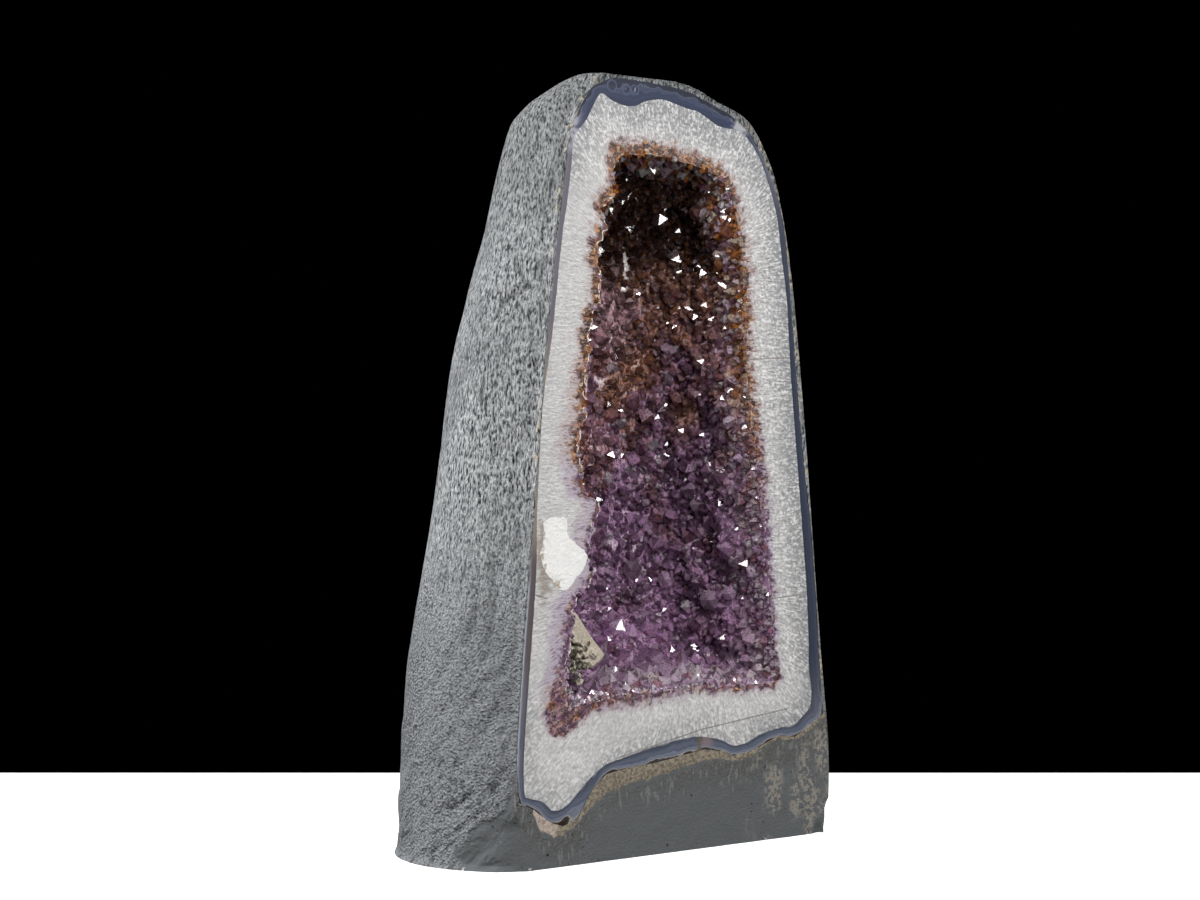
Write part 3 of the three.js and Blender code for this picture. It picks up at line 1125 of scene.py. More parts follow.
@dataclass(frozen=True)
class CementCoat:
    """The brushed cement coat with its foot, rim and hidden lining."""

    arc_steps: int = 430
    foot_rows: int = 24
    rows: int = 166
    front_steps: int = 150
    crown_steps: int = 40
    crown: float = 431.2
    arc_foot: tuple[float, float] = (70.0, 36.0)
    corner: float = 8.0
    lining_rings: int = 8
    lining_depth: float = 122.0
    lining_fit: float = 0.985
    front_tall: float = 50.0  # how much of the sections the foot's front spans
    front_inset: float = 1.2
    ledge: Outline = ((18, 326), (10, 313), (22, 305), (26, 297))  # behind the face, and z
    ledge_depth: float = 1.1
    dents: tuple[tuple[float, ...], ...] = (
        # x, distance behind the face, z, width, height and depth
        (-84, 16, 388, 7, 12, 1.8), (-86, 14, 318, 5, 15, 1.7), (-93, 9, 296, 6, 6, 1.2),
        (-91, 22, 236, 6, 16, 0.9), (-98, 30, 176, 9, 20, 0.8), (-104, 40, 92, 14, 9, 1.2),
    )

    def place(self, turn: Array, z: Array) -> Array:
        """A place on the coat's outside.

        Args:
            turn: 0 at the face's right edge, 1 at its left, round the back.
            z: height.

        Returns:
            The x, y, z place.
        """
        centre, setback, half = (section(key, z) for key in (CENTRE, SETBACK, HALF_DEPTH))
        cut = np.arcsin(setback / half)
        angle = (math.pi + 2 * cut) * turn - cut
        reach = np.where(np.cos(angle) > 0, section(RIGHT, z) - centre,
                         centre - section(LEFT, z))
        x = centre + reach / np.cos(cut) * np.cos(angle)
        return np.stack([x, FACE_Y + setback + half * np.sin(angle), z], axis=-1)

    def turns(self, z: Array) -> Array:
        """Evenly spaced turns for each row.

        Args:
            z: one height for each row.

        Returns:
            The turns, as rows by columns.
        """
        fine = np.linspace(0, 1, 400)
        paths = self.place(fine[None, :], z[:, None] + 0 * fine)
        steps = np.linalg.norm(np.diff(paths, axis=1), axis=2)
        run = np.concatenate([np.zeros((len(z), 1)), np.cumsum(steps, axis=1)], axis=1)
        even = np.linspace(0, 1, self.arc_steps + 1)
        return np.stack([np.interp(even * r[-1], r, fine) for r in run])

    def heights(self) -> Array:
        """Heights of the wrap's vertices.

        Returns:
            The heights, as rows by columns.
        """
        foot = np.linspace(*self.arc_foot, self.arc_steps + 1)
        low = np.linspace(0, 1, self.foot_rows + 1)[:, None] * foot
        up = 1 - (1 - np.linspace(0, 1, self.rows + 1)[1:]) ** 1.3
        return np.vstack([low, foot + up[:, None] * (self.crown - foot)])

    def relief(self, places: Array) -> tuple[Array, Array]:
        """How deep brush marks, dents and pits lie.

        Args:
            places: on the smooth coat.

        Returns:
            The depth in millimetres and the share of pit, which the finish darkens with painted
            shade.
        """
        x, behind, z = face_axes(places)
        brush = self.brush(places)
        low_left = smoothstep(130, 40, z) * smoothstep(0, -60, x)
        near_face = smoothstep(34, 4, behind) * smoothstep(60, 120, z)
        lumps = Noise(11).layered(brush / (52, 52, 90), 2)
        wrinkles = Noise(12).at(brush / (5, 5, 26))
        dashes = Noise(13).at(brush / (3.2, 3.2, 9))
        knobs = Noise(14).at(brush / (8, 8, 13))
        round_pits = smoothstep(0.28, 0.5, Noise(15).at(brush / 5)) * smoothstep(100, 75, behind)
        flutes = Noise(18).at(brush / (15, 15, 110))
        ridges = Noise(19).at(brush / (6, 6, 34))
        folds = Noise(25).at(brush / (8, 8, 130)) * smoothstep(52, 34, behind)
        folds *= smoothstep(2, 9, behind) * smoothstep(235, 190, z) * smoothstep(0, -40, x)
        pit = smoothstep(0.34, 0.62, dashes) * (0.35 + 0.65 * smoothstep(-0.2, 0.5, lumps))
        pit = np.maximum(pit, low_left * round_pits)
        depth = (0.45 * (lumps + 0.6) + 0.16 * (wrinkles + 0.7) + 0.34 * pit
                 + 1.0 * (flutes + 0.8) + near_face * (0.7 * (knobs + 0.6) + 0.6 * (ridges + 0.6))
                 + 0.25 * low_left * (knobs + 0.7) + 1.5 * np.maximum(folds, -0.1))
        for dent_x, dent_behind, dent_z, wide, tall, deep in self.dents:
            gap = (places - (dent_x, FACE_Y + dent_behind, dent_z)) / (wide, wide, tall)
            depth = depth + deep * np.exp(-np.sum(gap ** 2, axis=-1))
        beside = np.stack([behind, z], axis=-1)
        # The ledge's groove is also darkened with painted shade, through the pit share
        for start, end in itertools.pairwise(self.ledge):
            ledge = np.exp(-(stretch_distance(beside, start, end) / 2.0) ** 2) * (x < 0)
            depth, pit = depth + self.ledge_depth * ledge, np.maximum(pit, 0.9 * ledge)
        thin = smoothstep(9, 2, behind) * smoothstep(0, 40, x)
        depth = depth * (1 - 0.55 * thin) * (1 - 0.9 * smoothstep(412, 428, z))
        return np.maximum(depth, 0.0), pit

    def brush(self, places: Array) -> Array:
        """Slides places back near the foot, where the strokes slant.

        Args:
            places: on the coat.

        Returns:
            The moved places.
        """
        low = np.maximum(150 - places[..., 2], 0)
        slant = np.minimum(low ** 2 / 130, 1.05 * np.maximum(low - 68, 0) + 35.6)
        return places - slant[..., None] * (0, 1, 0)

    def values(self, places: Array, pit: Array, painted: Array) -> dict[str, Array]:
        """Vertex values of the coat.

        Args:
            places: the vertices.
            pit: share of pit, darkened with painted shade in the finish.
            painted: share of the foot's smooth paint.

        Returns:
            The values by name.
        """
        return {"brush": self.brush(places), "pit": pit, "painted": painted,
                "lime": self.lime(places), "pitted": self.pitted(places),
                "dusk": self.dusk(places), "under": self.under(places),
                "height": places[..., 2]}

    def lime(self, places: Array) -> Array:
        """Share of pale lime rubbed on the edges.

        Args:
            places: on the coat.

        Returns:
            The share.
        """
        x, behind, z = face_axes(places)
        edge = smoothstep(2.4, 0.3, behind) * smoothstep(40, 60, x)
        patchy = smoothstep(-0.3, 0.25, Noise(16).at(places / (9, 9, 22)))
        crumbs = smoothstep(0.30, 0.42, Noise(20).at(places / (4, 4, 7)))
        crumbs *= smoothstep(4.0, 1.5, behind) * smoothstep(-50, -60, x) * smoothstep(205, 225, z)
        shoulder = np.exp(-((x + 73) / 4) ** 2 - ((z - 401) / 9) ** 2)
        shoulder *= smoothstep(5, 2, behind) * smoothstep(-0.4, 0.1, Noise(23).at(places / 3))
        lime = np.maximum(edge * patchy, crumbs) * (0.35 + 0.65 * smoothstep(66, 90, z))
        return np.maximum(lime, 1.4 * shoulder).clip(0, 1)

    def under(self, places: Array) -> Array:
        """Share of the rough brownish strip under the stone's natural skin.

        Args:
            places: on the coat.

        Returns:
            The share.
        """
        x, behind, z = face_axes(places)
        drop = np.interp(x, *np.transpose(FOOT_TOP)) - z
        return smoothstep(27, 6, drop) * smoothstep(2.5, 1.0, behind)

    def dusk(self, places: Array) -> Array:
        """Share of painted shade on the cement at the top and, with a wavy border, beside the
        face.

        Args:
            places: on the coat.

        Returns:
            The share.
        """
        x, behind, z = face_axes(places)
        wave = 9 * Noise(24).at(places / 30)
        beside = smoothstep(46, 26, behind + wave) * smoothstep(20, -20, x)
        beside *= smoothstep(395, 340, z) * smoothstep(60, 130, z)
        return 0.55 * smoothstep(342, 384, z) + 0.2 * beside

    def pitted(self, places: Array) -> Array:
        """Share of round pits instead of brush strokes, on the bulge low on the left.

        Args:
            places: on the coat.

        Returns:
            The share.
        """
        x, behind, z = face_axes(places)
        bulge = np.exp(-((behind - 75) / 34) ** 2 - ((z - 95) / 75) ** 2) * smoothstep(20, -40, x)
        return smoothstep(0.25, 0.75, bulge + 0.25 * Noise(17).at(places / 24))

    def add(self, shell: Shell, places: Array, rough: float = 0.0,
            painted: float = 0.0) -> Array:
        """Adds vertices whose pits and wear come from their place."""
        pit = self.relief(places)[1] * rough
        return shell.add(places, **self.values(places, pit, np.full(pit.shape, painted)))

    def wrap(self, shell: Shell) -> Array:
        """Adds the outside, from the right edge round the back to the left.

        Args:
            shell: the piece.

        Returns:
            The vertex numbers, as rows by columns.
        """
        z = self.heights()
        places = self.place(self.turns(z.mean(axis=1)), z)
        depth, pit = self.relief(places)
        inward = facing_with(grid_normals(places, closed=False),
                             (0, FACE_Y + 60, 200) - places)
        column = np.arange(places.shape[1])
        edge = np.minimum(1, np.minimum(column, column[::-1]) / 3)
        rise = smoothstep(0, 3, places[..., 2])
        moved = places + inward * (depth * (0.35 + 0.65 * edge) * rise)[..., None]
        moved[:, [0, -1], 1] = FACE_Y
        moved[0, :, 2] = 0
        moved = self.rounded(moved, moved[..., 1] - FACE_Y, RIGHTWARD, BACKWARD)
        moved = self.broken(moved, moved[..., 1] - FACE_Y)
        x, behind, z = face_axes(moved)
        reach = 3 + 22 * smoothstep(44, 4, z) * (x < 0) + 3 * Noise(26).at(moved / 9)
        painted = smoothstep(3, -3, behind - reach) * smoothstep(66, 36, z)
        numbers = shell.add(moved, **self.values(moved, pit, painted))
        shell.bands(numbers, closed=False)
        return numbers

    def rounded(self, places: Array, run: Array, across: Array, along: Array) -> Array:
        """Rounds the foot's left corner.

        Args:
            places: vertices of one of its two sides.
            run: their distance from the corner.
            across: inward, square to that side.
            along: away from the corner, on that side.

        Returns:
            The moved vertices.
        """
        radius = self.corner * smoothstep(33, 22, places[..., 2]) * (places[..., 0] < 0) + 1e-6
        turn = math.pi / 4 * (1 - np.clip(run / radius, 0, 1))
        inward = radius * (1 - np.cos(turn))
        slide = np.where(run < radius, radius * (1 - np.sin(turn)) - run, 0)
        return places + inward[..., None] * across + slide[..., None] * along

    def broken(self, places: Array, run: Array) -> Array:
        """Breaks the foot's lower right corner off.

        Args:
            places: vertices of one of its two sides.
            run: their distance from the corner.

        Returns:
            The moved vertices.
        """
        z = places[..., 2]
        lost = 3.0 * smoothstep(21, 15, z) + 0.8 * smoothstep(9, 2, z)
        lost = lost * smoothstep(17, 3, run) * (places[..., 0] > 0)
        return places - lost[..., None] * RIGHTWARD

    def foot_front(self, shell: Shell, wrap: Array) -> Array:
        """Adds the painted front of the foot and the base.

        Args:
            shell: the piece.
            wrap: the wrap's vertex numbers.

        Returns:
            The vertices along the foot's top, from left to right.
        """
        top = np.array(FOOT_TOP)
        x = np.linspace(top[0, 0], top[-1, 0], self.front_steps + 1)[1:-1]
        share = np.linspace(0, 1, self.foot_rows + 1)[:, None]
        left, right = (np.interp(share * self.front_tall, SECTIONS[:, 0], SECTIONS[:, key])
                       for key in (LEFT, RIGHT))
        width = (x - x[0]) / (x[-1] - x[0])
        flat = np.stack([left + self.front_inset + (right - left - 2 * self.front_inset) * width,
                         share * np.interp(x, top[:, 0], top[:, 1])], axis=-1)
        rough = 0.3 + 0.22 * flat_noise(21, flat, 14, 3)
        chip = 2 * np.exp(-np.sum(((flat - (104, 1)) / (6, 5)) ** 2, axis=-1))
        places = face_places(flat, FACE_Y + np.maximum(rough, 0.05) + chip)
        places = self.rounded(places, flat[..., 0] - left, BACKWARD, RIGHTWARD)
        places = self.broken(places, right - flat[..., 0])
        inner = self.add(shell, places, rough=0.15, painted=1.0)
        rows = slice(0, self.foot_rows + 1)
        front = np.hstack([wrap[rows, -1:], inner, wrap[rows, :1]])
        shell.bands(front, closed=False)
        hub = self.add(shell, np.array([[20.0, FACE_Y + 70, 0.0]]))
        shell.fan(np.concatenate([wrap[0], front[0, 1:-1]]), hub[0])
        return front[-1]

    def build(self) -> Thing:
        """Makes the piece.

        Returns:
            The coat.
        """
        shell = Shell()
        wrap = self.wrap(shell)
        foot_top = self.foot_front(shell, wrap)
        places = np.concatenate(shell.points)
        ends = places[wrap[-1, [0, -1]]]
        share = np.linspace(0, 1, self.crown_steps + 1)[1:-1, None]
        chord = self.add(shell, ends[0] + (ends[1] - ends[0]) * share, rough=0.5)
        hub = self.add(shell, np.array([[-33.0, FACE_Y + 11, HEIGHT]]))
        shell.fan(np.concatenate([wrap[-1], chord[::-1]]), hub[0])
        up, down = wrap[self.foot_rows + 1:, 0], wrap[self.foot_rows + 1:, -1][::-1]
        loop = np.concatenate([foot_top, up, chord, down])
        self.rim(shell, loop)
        return shell.piece("cement_coat_brushed", Slot.CEMENT, "cement_coat")

    def rim(self, shell: Shell, loop: Array) -> None:
        """Adds the rim on the face, its step and the hidden lining.

        Args:
            shell: the piece.
            loop: the face's boundary, as vertex numbers.
        """
        outer = np.concatenate(shell.points)[loop][:, [0, 2]]
        heart = spine(outer[:, 1])[0]
        inner = ray_hits(heart, outer, closed_curve(RIND_OUTER), nearest_to_one=True)
        rows = [loop]
        for share in (0.3, 0.6, 0.85, 1.0):
            flat = outer + (inner - outer) * share
            bumps = flat_noise(22, flat, 3.5, 2)
            places = face_places(flat, FACE_Y + 0.25 + 0.45 * (bumps + 0.5) * share)
            rows.append(self.add(shell, places, rough=0.8))
        rows.append(self.add(shell, face_places(inner, FACE_Y + BACK_STEP)))
        rows += list(self.add(shell, hidden_dome(inner, self.lining_fit, FACE_Y,
                                                 self.lining_depth, self.lining_rings)))
        shell.bands(np.stack(rows), closed=True)
        deepest = face_places(BACK_HUB[None], FACE_Y + BACK_STEP + self.lining_depth)
        shell.fan(rows[-1], self.add(shell, deepest)[0])


@dataclass(frozen=True)
class AgateRind:
    """The thin blue-grey band between the cement and the quartz."""

    columns: int = 760
    rows: int = 7
    depth: float = 4.0
    tapered: float = 0.55  # share of its width that the band loses to the back
    mauve: Colour = (0.19, 0.165, 0.19)
    plum: Colour = (0.125, 0.095, 0.10)
    tan: Colour = (0.33, 0.27, 0.21)
    umber: Colour = (0.12, 0.09, 0.085)
    slate: Colour = (0.055, 0.062, 0.078)
    blue: Colour = (0.060, 0.072, 0.110)
    outline: Colour = (0.42, 0.44, 0.50)
    frosty: Colour = (0.50, 0.49, 0.56)
    fracture: Colour = (0.50, 0.50, 0.52)
    pink: Colour = (0.27, 0.20, 0.19)
    vein: Colour = (0.16, 0.12, 0.075)

    def build(self) -> Thing:
        """Makes the piece.

        Returns:
            The band.
        """
        shell = Shell()
        outer = even_spacing(closed_curve(RIND_OUTER), self.columns)
        heart = spine(outer[:, 1])[0]
        inner = ray_hits(heart, outer, closed_curve(RIND_INNER), nearest_to_one=False)
        inner = inner + unit(outer - inner) * (0.25 * flat_noise(31, outer, 4)[:, None])
        outer = outer + unit(outer - inner) * 0.3
        run = np.arange(self.columns) / self.columns * 2 * math.pi
        arc = GRAIN_RADIUS * run
        arches = np.abs(np.sin(arc / 9.0 + 0.9 * np.sin(arc / 31.0)))
        rows = []
        # Rows across the face, then down behind its inner edge and back along the rear
        for k in range(self.rows + 3):
            share = min(k / self.rows, 1.0) if k <= self.rows + 1 else self.tapered
            flat = outer + (inner - outer) * share
            behind = 0.0 if k <= self.rows else self.depth
            grain = ring_grain(run, np.linalg.norm(flat - outer, axis=1))
            scallop = 0.16 * (1 - arches) * smoothstep(80, 60, flat[:, 1]) * (share < 0.5)
            tone, toned = self.toned(flat, share)
            rows.append(shell.add(face_places(flat, STONE_FACE + behind),
                                  band=share - scallop - self.skin(flat), grain=grain,
                                  tone=tone, toned=toned, shade=self.shade(flat)))
        shell.bands(np.stack([*rows, rows[0]]), closed=True)
        return shell.piece("agate_rind", Slot.AGATE)

    def skin(self, flat: Array) -> Array:
        """How much more of the band's width its brown skin takes along the top."""
        bumps = np.clip(0.75 + flat_noise(32, flat, 5), 0.2, 1.2)
        return 0.24 * smoothstep(384, 402, flat[:, 1]) * bumps

    def shade(self, flat: Array) -> Array:
        """How much painted shade darkens the band along the top and down the right.

        Args:
            flat: x, z places.

        Returns:
            The share of shade.
        """
        x, z = flat[:, 0], flat[:, 1]
        unbroken = smoothstep(0.8, 1.2, np.hypot((x - 42) / 6, (z - 410) / 6))
        top = smoothstep(380, 405, z) * smoothstep(-72, -64, x) * unbroken
        return np.maximum(top, 0.75 * smoothstep(60, 80, x) * smoothstep(80, 110, z))

    def toned(self, flat: Array, share: float) -> tuple[Array, Array]:
        """Where the band turns mauve, tan, dark or frosty.

        Args:
            flat: x, z places.
            share: 0 at the cement, 1 at the quartz.

        Returns:
            The other colour, with alpha, and how much of it shows.
        """
        x, z = flat[:, 0], flat[:, 1]
        across = np.full(len(x), share)
        left = smoothstep(-50, -80, x) * smoothstep(402, 385, z)
        right = smoothstep(50, 75, x) * smoothstep(60, 90, z)
        low = left * smoothstep(170, 150, z) * smoothstep(40, 60, z)
        inner = smoothstep(0.45, 0.85, across)
        frost = (smoothstep(-64, -70, x) * smoothstep(384, 391, z) * smoothstep(412, 406, z)
                 * smoothstep(-0.5, 0.0, flat_noise(33, flat, 3)))
        broken = np.hypot((x - 42) / 6, (z - 410) / 6) + 0.8 * flat_noise(34, flat, 2)
        pink = (smoothstep(13, 15, x) * smoothstep(25, 19, x) * (z < 80)
                * smoothstep(0.2, 0.5, across))
        tone = np.array(self.mauve) + 0 * x[:, None]
        toned = np.maximum(left * smoothstep(60, 110, z) * (0.55 + 0.35 * share),
                           0.6 * low * inner)
        for part, strength, colour in (
            (inner * smoothstep(200, 150, z), 0.0, self.plum),
            (left * smoothstep(150, 175, z) * smoothstep(300, 260, z), 0.0, self.tan),
            (left * smoothstep(90, 120, z) * smoothstep(185, 160, z), 0.0, self.umber),
            (right, 0.7, self.slate),
            (smoothstep(395, 412, z), 0.5, self.blue),
            (low * (share < 0.2), 0.9, self.outline),
            (frost, 0.8, self.frosty),
            (smoothstep(1.2, 0.7, broken), 0.8, self.fracture),
            (pink, 0.7, self.pink),
            (smoothstep(1.7, 0.7, np.abs(x - 12.4)) * (z < 80), 0.8, self.vein),
        ):
            tone = blended(part, tone, np.array(colour))
            toned = np.maximum(toned, strength * part)
        return opaque(tone), toned


def mouth_rays(count: int) -> tuple[Array, Array, Array, Array]:
    """Rays from the hollow's ridge out to the agate.

    Args:
        count: how many rays.

    Returns:
        The ridge point, its depth, the mouth point and the agate's inner edge, by ray.
    """
    outer = even_spacing(closed_curve(RIND_INNER), count)
    heart, depth = spine(outer[:, 1])
    mouth = ray_hits(heart, outer, closed_curve(MOUTH), nearest_to_one=False)
    return heart, depth, mouth, outer


def hollow_rows(heart: Array, depth: Array, mouth: Array, turns: Array) -> Array:
    """Places on the hollow's wall.

    Args:
        heart: ridge points.
        depth: the ridge's depth at each.
        mouth: points on the mouth.
        turns: angles from the face, 0, to the ridge, pi / 2.

    Returns:
        Places, as rows by columns.
    """
    inward = np.cos(turns)[:, None, None] ** HOLLOW_FLARE
    flat = heart + (mouth - heart) * inward
    return face_places(flat, STONE_FACE + depth * np.sin(turns)[:, None])


@dataclass(frozen=True)
class QuartzWall:
    """The milky quartz between the agate and the crystals, with its hidden back."""

    columns: int = 960
    face_rows: int = 22
    wall_rows: int = 12
    back_rows: int = 8
    back_fit: float = 0.98
    depth: float = 116.0
    end: Place = (-2.0, STONE_FACE + 90.0, 235.0)  # where the hollow closes

    def zones(self, flat: Array, edge: Array, run: Array) -> dict[str, Array]:
        """Vertex values of the sawn face.

        Args:
            flat: x, z places.
            edge: distance to the hollow's mouth.
            run: angle round the ring.

        Returns:
            The values by name.
        """
        x, z = flat[..., 0], flat[..., 1]
        reach = edge.max(axis=0, keepdims=True)
        left, right = smoothstep(0, -50, x), smoothstep(30, 60, x)
        high, low = smoothstep(350, 385, z), smoothstep(110, 80, z)
        near_rind = smoothstep(21, 0, reach - edge) * np.maximum.reduce(
            [0.18 + 0 * x, 1.15 * high * (1 - 0.35 * left), 1.0 * right, 0.6 * low])
        near_rind = np.minimum(near_rind + 0.3 * high * (1 - 0.5 * left), 1)
        corner = np.exp(-((x + 79) / 12) ** 2 - ((z - 77) / 16) ** 2)
        width = 1.8 + 3.8 * left * smoothstep(150, 240, z) + 4.2 * high
        width = width + 22 * corner + 3.4 * right * smoothstep(120, 220, z)
        width = width - 1.6 * left * high + 4.5 * left * smoothstep(165, 140, z) + 1.8 * low
        haze = 1.0 + 6.5 * left * smoothstep(300, 230, z) * smoothstep(70, 100, z)
        soft = np.maximum(0.8 * left * smoothstep(70, 110, z) * smoothstep(400, 360, z), 0.12)
        soft = np.maximum(soft, 0.5 * smoothstep(110, 80, z))
        blotch = np.hypot((x + 90) / 5.5, (z - 166) / 22) + 0.7 * flat_noise(43, flat, 4, 3)
        # The left rim's pale lip is partly a painted highlight
        return {"grey_zone": near_rind, "fringe": width, "edge": edge, "haze": haze,
                "stain": self.stain(face_places(flat, 0.0)), "grain": ring_grain(run, edge),
                "blotch": 0.75 * smoothstep(1.2, 0.6, blotch), "soft": soft, "lip_and_glint": left}

    def stain(self, places: Array) -> Array:
        """Share of iron brown instead of violet where the crystals begin.

        Args:
            places: on the wall.

        Returns:
            The share.
        """
        speck = Noise(44).layered(places / 7, 2)
        rise = smoothstep(175, 250, places[..., 2] + 34 * Noise(41).at(places / 22))
        rise = np.maximum(rise, 0.4 * smoothstep(112, 98, places[..., 2]))
        less = 0.25 * smoothstep(0.1, 0.5, -speck)
        return np.clip(rise + 0.55 * smoothstep(0.2, 0.55, speck) - less, 0, 1)

    def build(self) -> Thing:
        """Makes the piece.

        Returns:
            The quartz.
        """
        shell = Shell()
        heart, depth, mouth, outer = mouth_rays(self.columns)
        out = unit(outer - heart)
        smooth = mouth + out * 1.2
        teeth = flat_noise(42, mouth, 6.5, 3)
        teeth *= 1.7 + 1.3 * smoothstep(-20, -45, mouth[:, 0])
        mouth = mouth + out * teeth[:, None]
        outer = outer + out * 0.1
        run = np.broadcast_to(np.arange(self.columns) / self.columns * 2 * math.pi,
                              (self.face_rows + 1, self.columns))
        share = np.linspace(0, 1, self.face_rows + 1)[:, None, None]
        flat = outer + (mouth - outer) * share
        edge = np.linalg.norm(flat - mouth, axis=-1)
        face = shell.add(face_places(flat, STONE_FACE), **self.zones(flat, edge, run))
        turns = np.linspace(0, math.pi / 2 - 0.02, self.wall_rows + 1)[1:]
        wall = hollow_rows(heart, depth + 1.0, smooth, turns)
        values = shell.blank(*wall.shape[:2])
        values["fringe"] = values["fringe"] + 9
        values["stain"] = self.stain(wall)
        wall_rows = shell.add(wall, **values)
        shell.cap(wall_rows[-1], self.end)
        back = np.vstack([face_places(outer, STONE_FACE + BACK_STEP)[None], hidden_dome(
            outer, self.back_fit, STONE_FACE, self.depth, self.back_rows)])
        back_rows = shell.add(back, **shell.blank(*back.shape[:2]))
        shell.cap(back_rows[-1], (BACK_HUB[0], STONE_FACE + BACK_STEP + self.depth, BACK_HUB[1]))
        shell.bands(np.vstack([back_rows[::-1], face, wall_rows]), closed=True)
        return shell.piece("quartz_wall", Slot.QUARTZ, "geode")


@dataclass(frozen=True)
class HollowBed:
    """The lumpy surface of the hollow that the crystals grow from."""

    columns: int = 420
    rows: int = 90
    thick: float = 1.2
    end: Place = (-2.0, FACE_Y + 91.0, 235.0)  # where the hollow closes

    def surface(self) -> tuple[Array, Array]:
        """The lumpy surface.

        Returns:
            Places and the directions into the hollow, as rows by columns.
        """
        heart, depth, mouth, outer = mouth_rays(self.columns)
        turns = math.pi / 2 * (1 - np.linspace(1, 0.012, self.rows + 1) ** (1 / HOLLOW_FLARE))
        smooth = hollow_rows(heart, depth, mouth + unit(outer - heart) * 0.4, turns)
        into = facing_with(grid_normals(smooth, closed=True),
                           face_places(heart, FACE_Y + 20) - smooth)
        lumps = Noise(51).at(smooth / 27) * 4.2 + Noise(52).at(smooth / 12) * 2.2
        lumps = np.maximum(lumps + 1.5, 0) * smoothstep(0.0, 0.22, turns)[:, None]
        places = smooth + into * (0.4 + lumps)[..., None]
        return places, facing_with(grid_normals(places, closed=True), into)

    def build(self) -> Thing:
        """Makes the piece.

        Returns:
            The bed.
        """
        shell = Shell()
        front, into = self.surface()
        back = front - into * self.thick
        for rows in (front, back):
            rows[..., 1] = np.maximum(rows[..., 1], STONE_FACE + 0.05)
        front_rows, back_rows = (shell.add(rows, **Zones.tinted(rows)) for rows in (front, back))
        for rows, behind in ((front_rows, 0.0), (back_rows, self.thick)):
            end = self.end + BACKWARD * behind
            shell.cap(rows[-1], end, **Zones.tinted(end[None]))
        shell.bands(np.vstack([front_rows[::-1], back_rows]), closed=True)
        return shell.piece("amethyst_bed", Slot.AMETHYST)


class Zones:
    """How the crystals' colour changes over the hollow."""

    PURPLE = np.array((0.54, 0.315, 0.53))
    DEEP = np.array((0.20, 0.095, 0.22))
    MAUVE = np.array((0.66, 0.44, 0.58))
    UMBER = np.array((0.47, 0.25, 0.22))
    ORANGE = np.array((0.70, 0.31, 0.08))
    CLEAR = np.array((0.80, 0.72, 0.78))
    # Colour of the painted shadow high in the hollow
    TOP_SHADOW = np.array((0.06, 0.025, 0.02))
    SILL = np.array(((0.98, 0.86, 0.94), (0.86, 0.62, 0.84), (0.48, 0.20, 0.24),
                     (0.98, 0.86, 0.86), (0.66, 0.42, 0.64), (0.92, 0.78, 0.90)))
    RIM = np.array(((0.84, 0.68, 0.54), (0.62, 0.26, 0.05), (0.20, 0.06, 0.02),
                    (0.70, 0.54, 0.68), (0.44, 0.16, 0.04), (0.36, 0.20, 0.28),
                    (0.84, 0.74, 0.80)))

    @staticmethod
    def picked(colours: Array, number: Array) -> Array:
        """One of the colours for each number, in turn."""
        return colours[(number % len(colours)).astype(int)]

    @classmethod
    def tinted(cls, places: Array) -> dict[str, Array]:
        """Tint and rust of crystals rooted at the places, with painted shadow high in the hollow.

        Args:
            places: roots of the crystals.

        Returns:
            The tint, as a colour with alpha, and the share of rust.
        """
        x, behind, z = face_axes(places)
        patch = Noise(53).layered(places / 26, 3)
        speckle = Noise(54).layered(places / 11, 2)
        climb = np.clip((z - 150) / 210, 0, 1)
        brown = smoothstep(0.15, 0.8, climb + 0.42 * patch)
        tint = blended(brown, cls.PURPLE + 0 * places, cls.UMBER)
        tint = blended(0.85 * smoothstep(0.05, 0.5, speckle), tint, cls.DEEP)
        mauve = smoothstep(1.2, 0.5, np.hypot(x / 22, (z - 302) / 24) + 0.4 * speckle)
        mauve *= smoothstep(30, 50, behind)
        tint = blended(0.8 * mauve, tint, cls.MAUVE)
        rim = smoothstep(15, 3, behind) * smoothstep(170, 260, z)
        rust = np.clip(0.6 * brown + 0.6 * rim + 0.25 + 0.45 * speckle - 0.6 * mauve, 0, 1)
        tint = blended(np.clip(0.22 * brown + 0.55 * rim, 0, 1), tint, cls.ORANGE)
        # Painted shadow high in the hollow, under its roof
        top_shadow = smoothstep(308, 346, z + 10 * patch) * smoothstep(9, 28, behind)
        tint = blended(0.94 * top_shadow, tint, cls.TOP_SHADOW)
        floor = smoothstep(118, 92, z) * smoothstep(60, 10, behind)
        tint = blended(0.55 * floor, tint, cls.CLEAR)
        return {"tint": opaque(tint), "rust": rust}


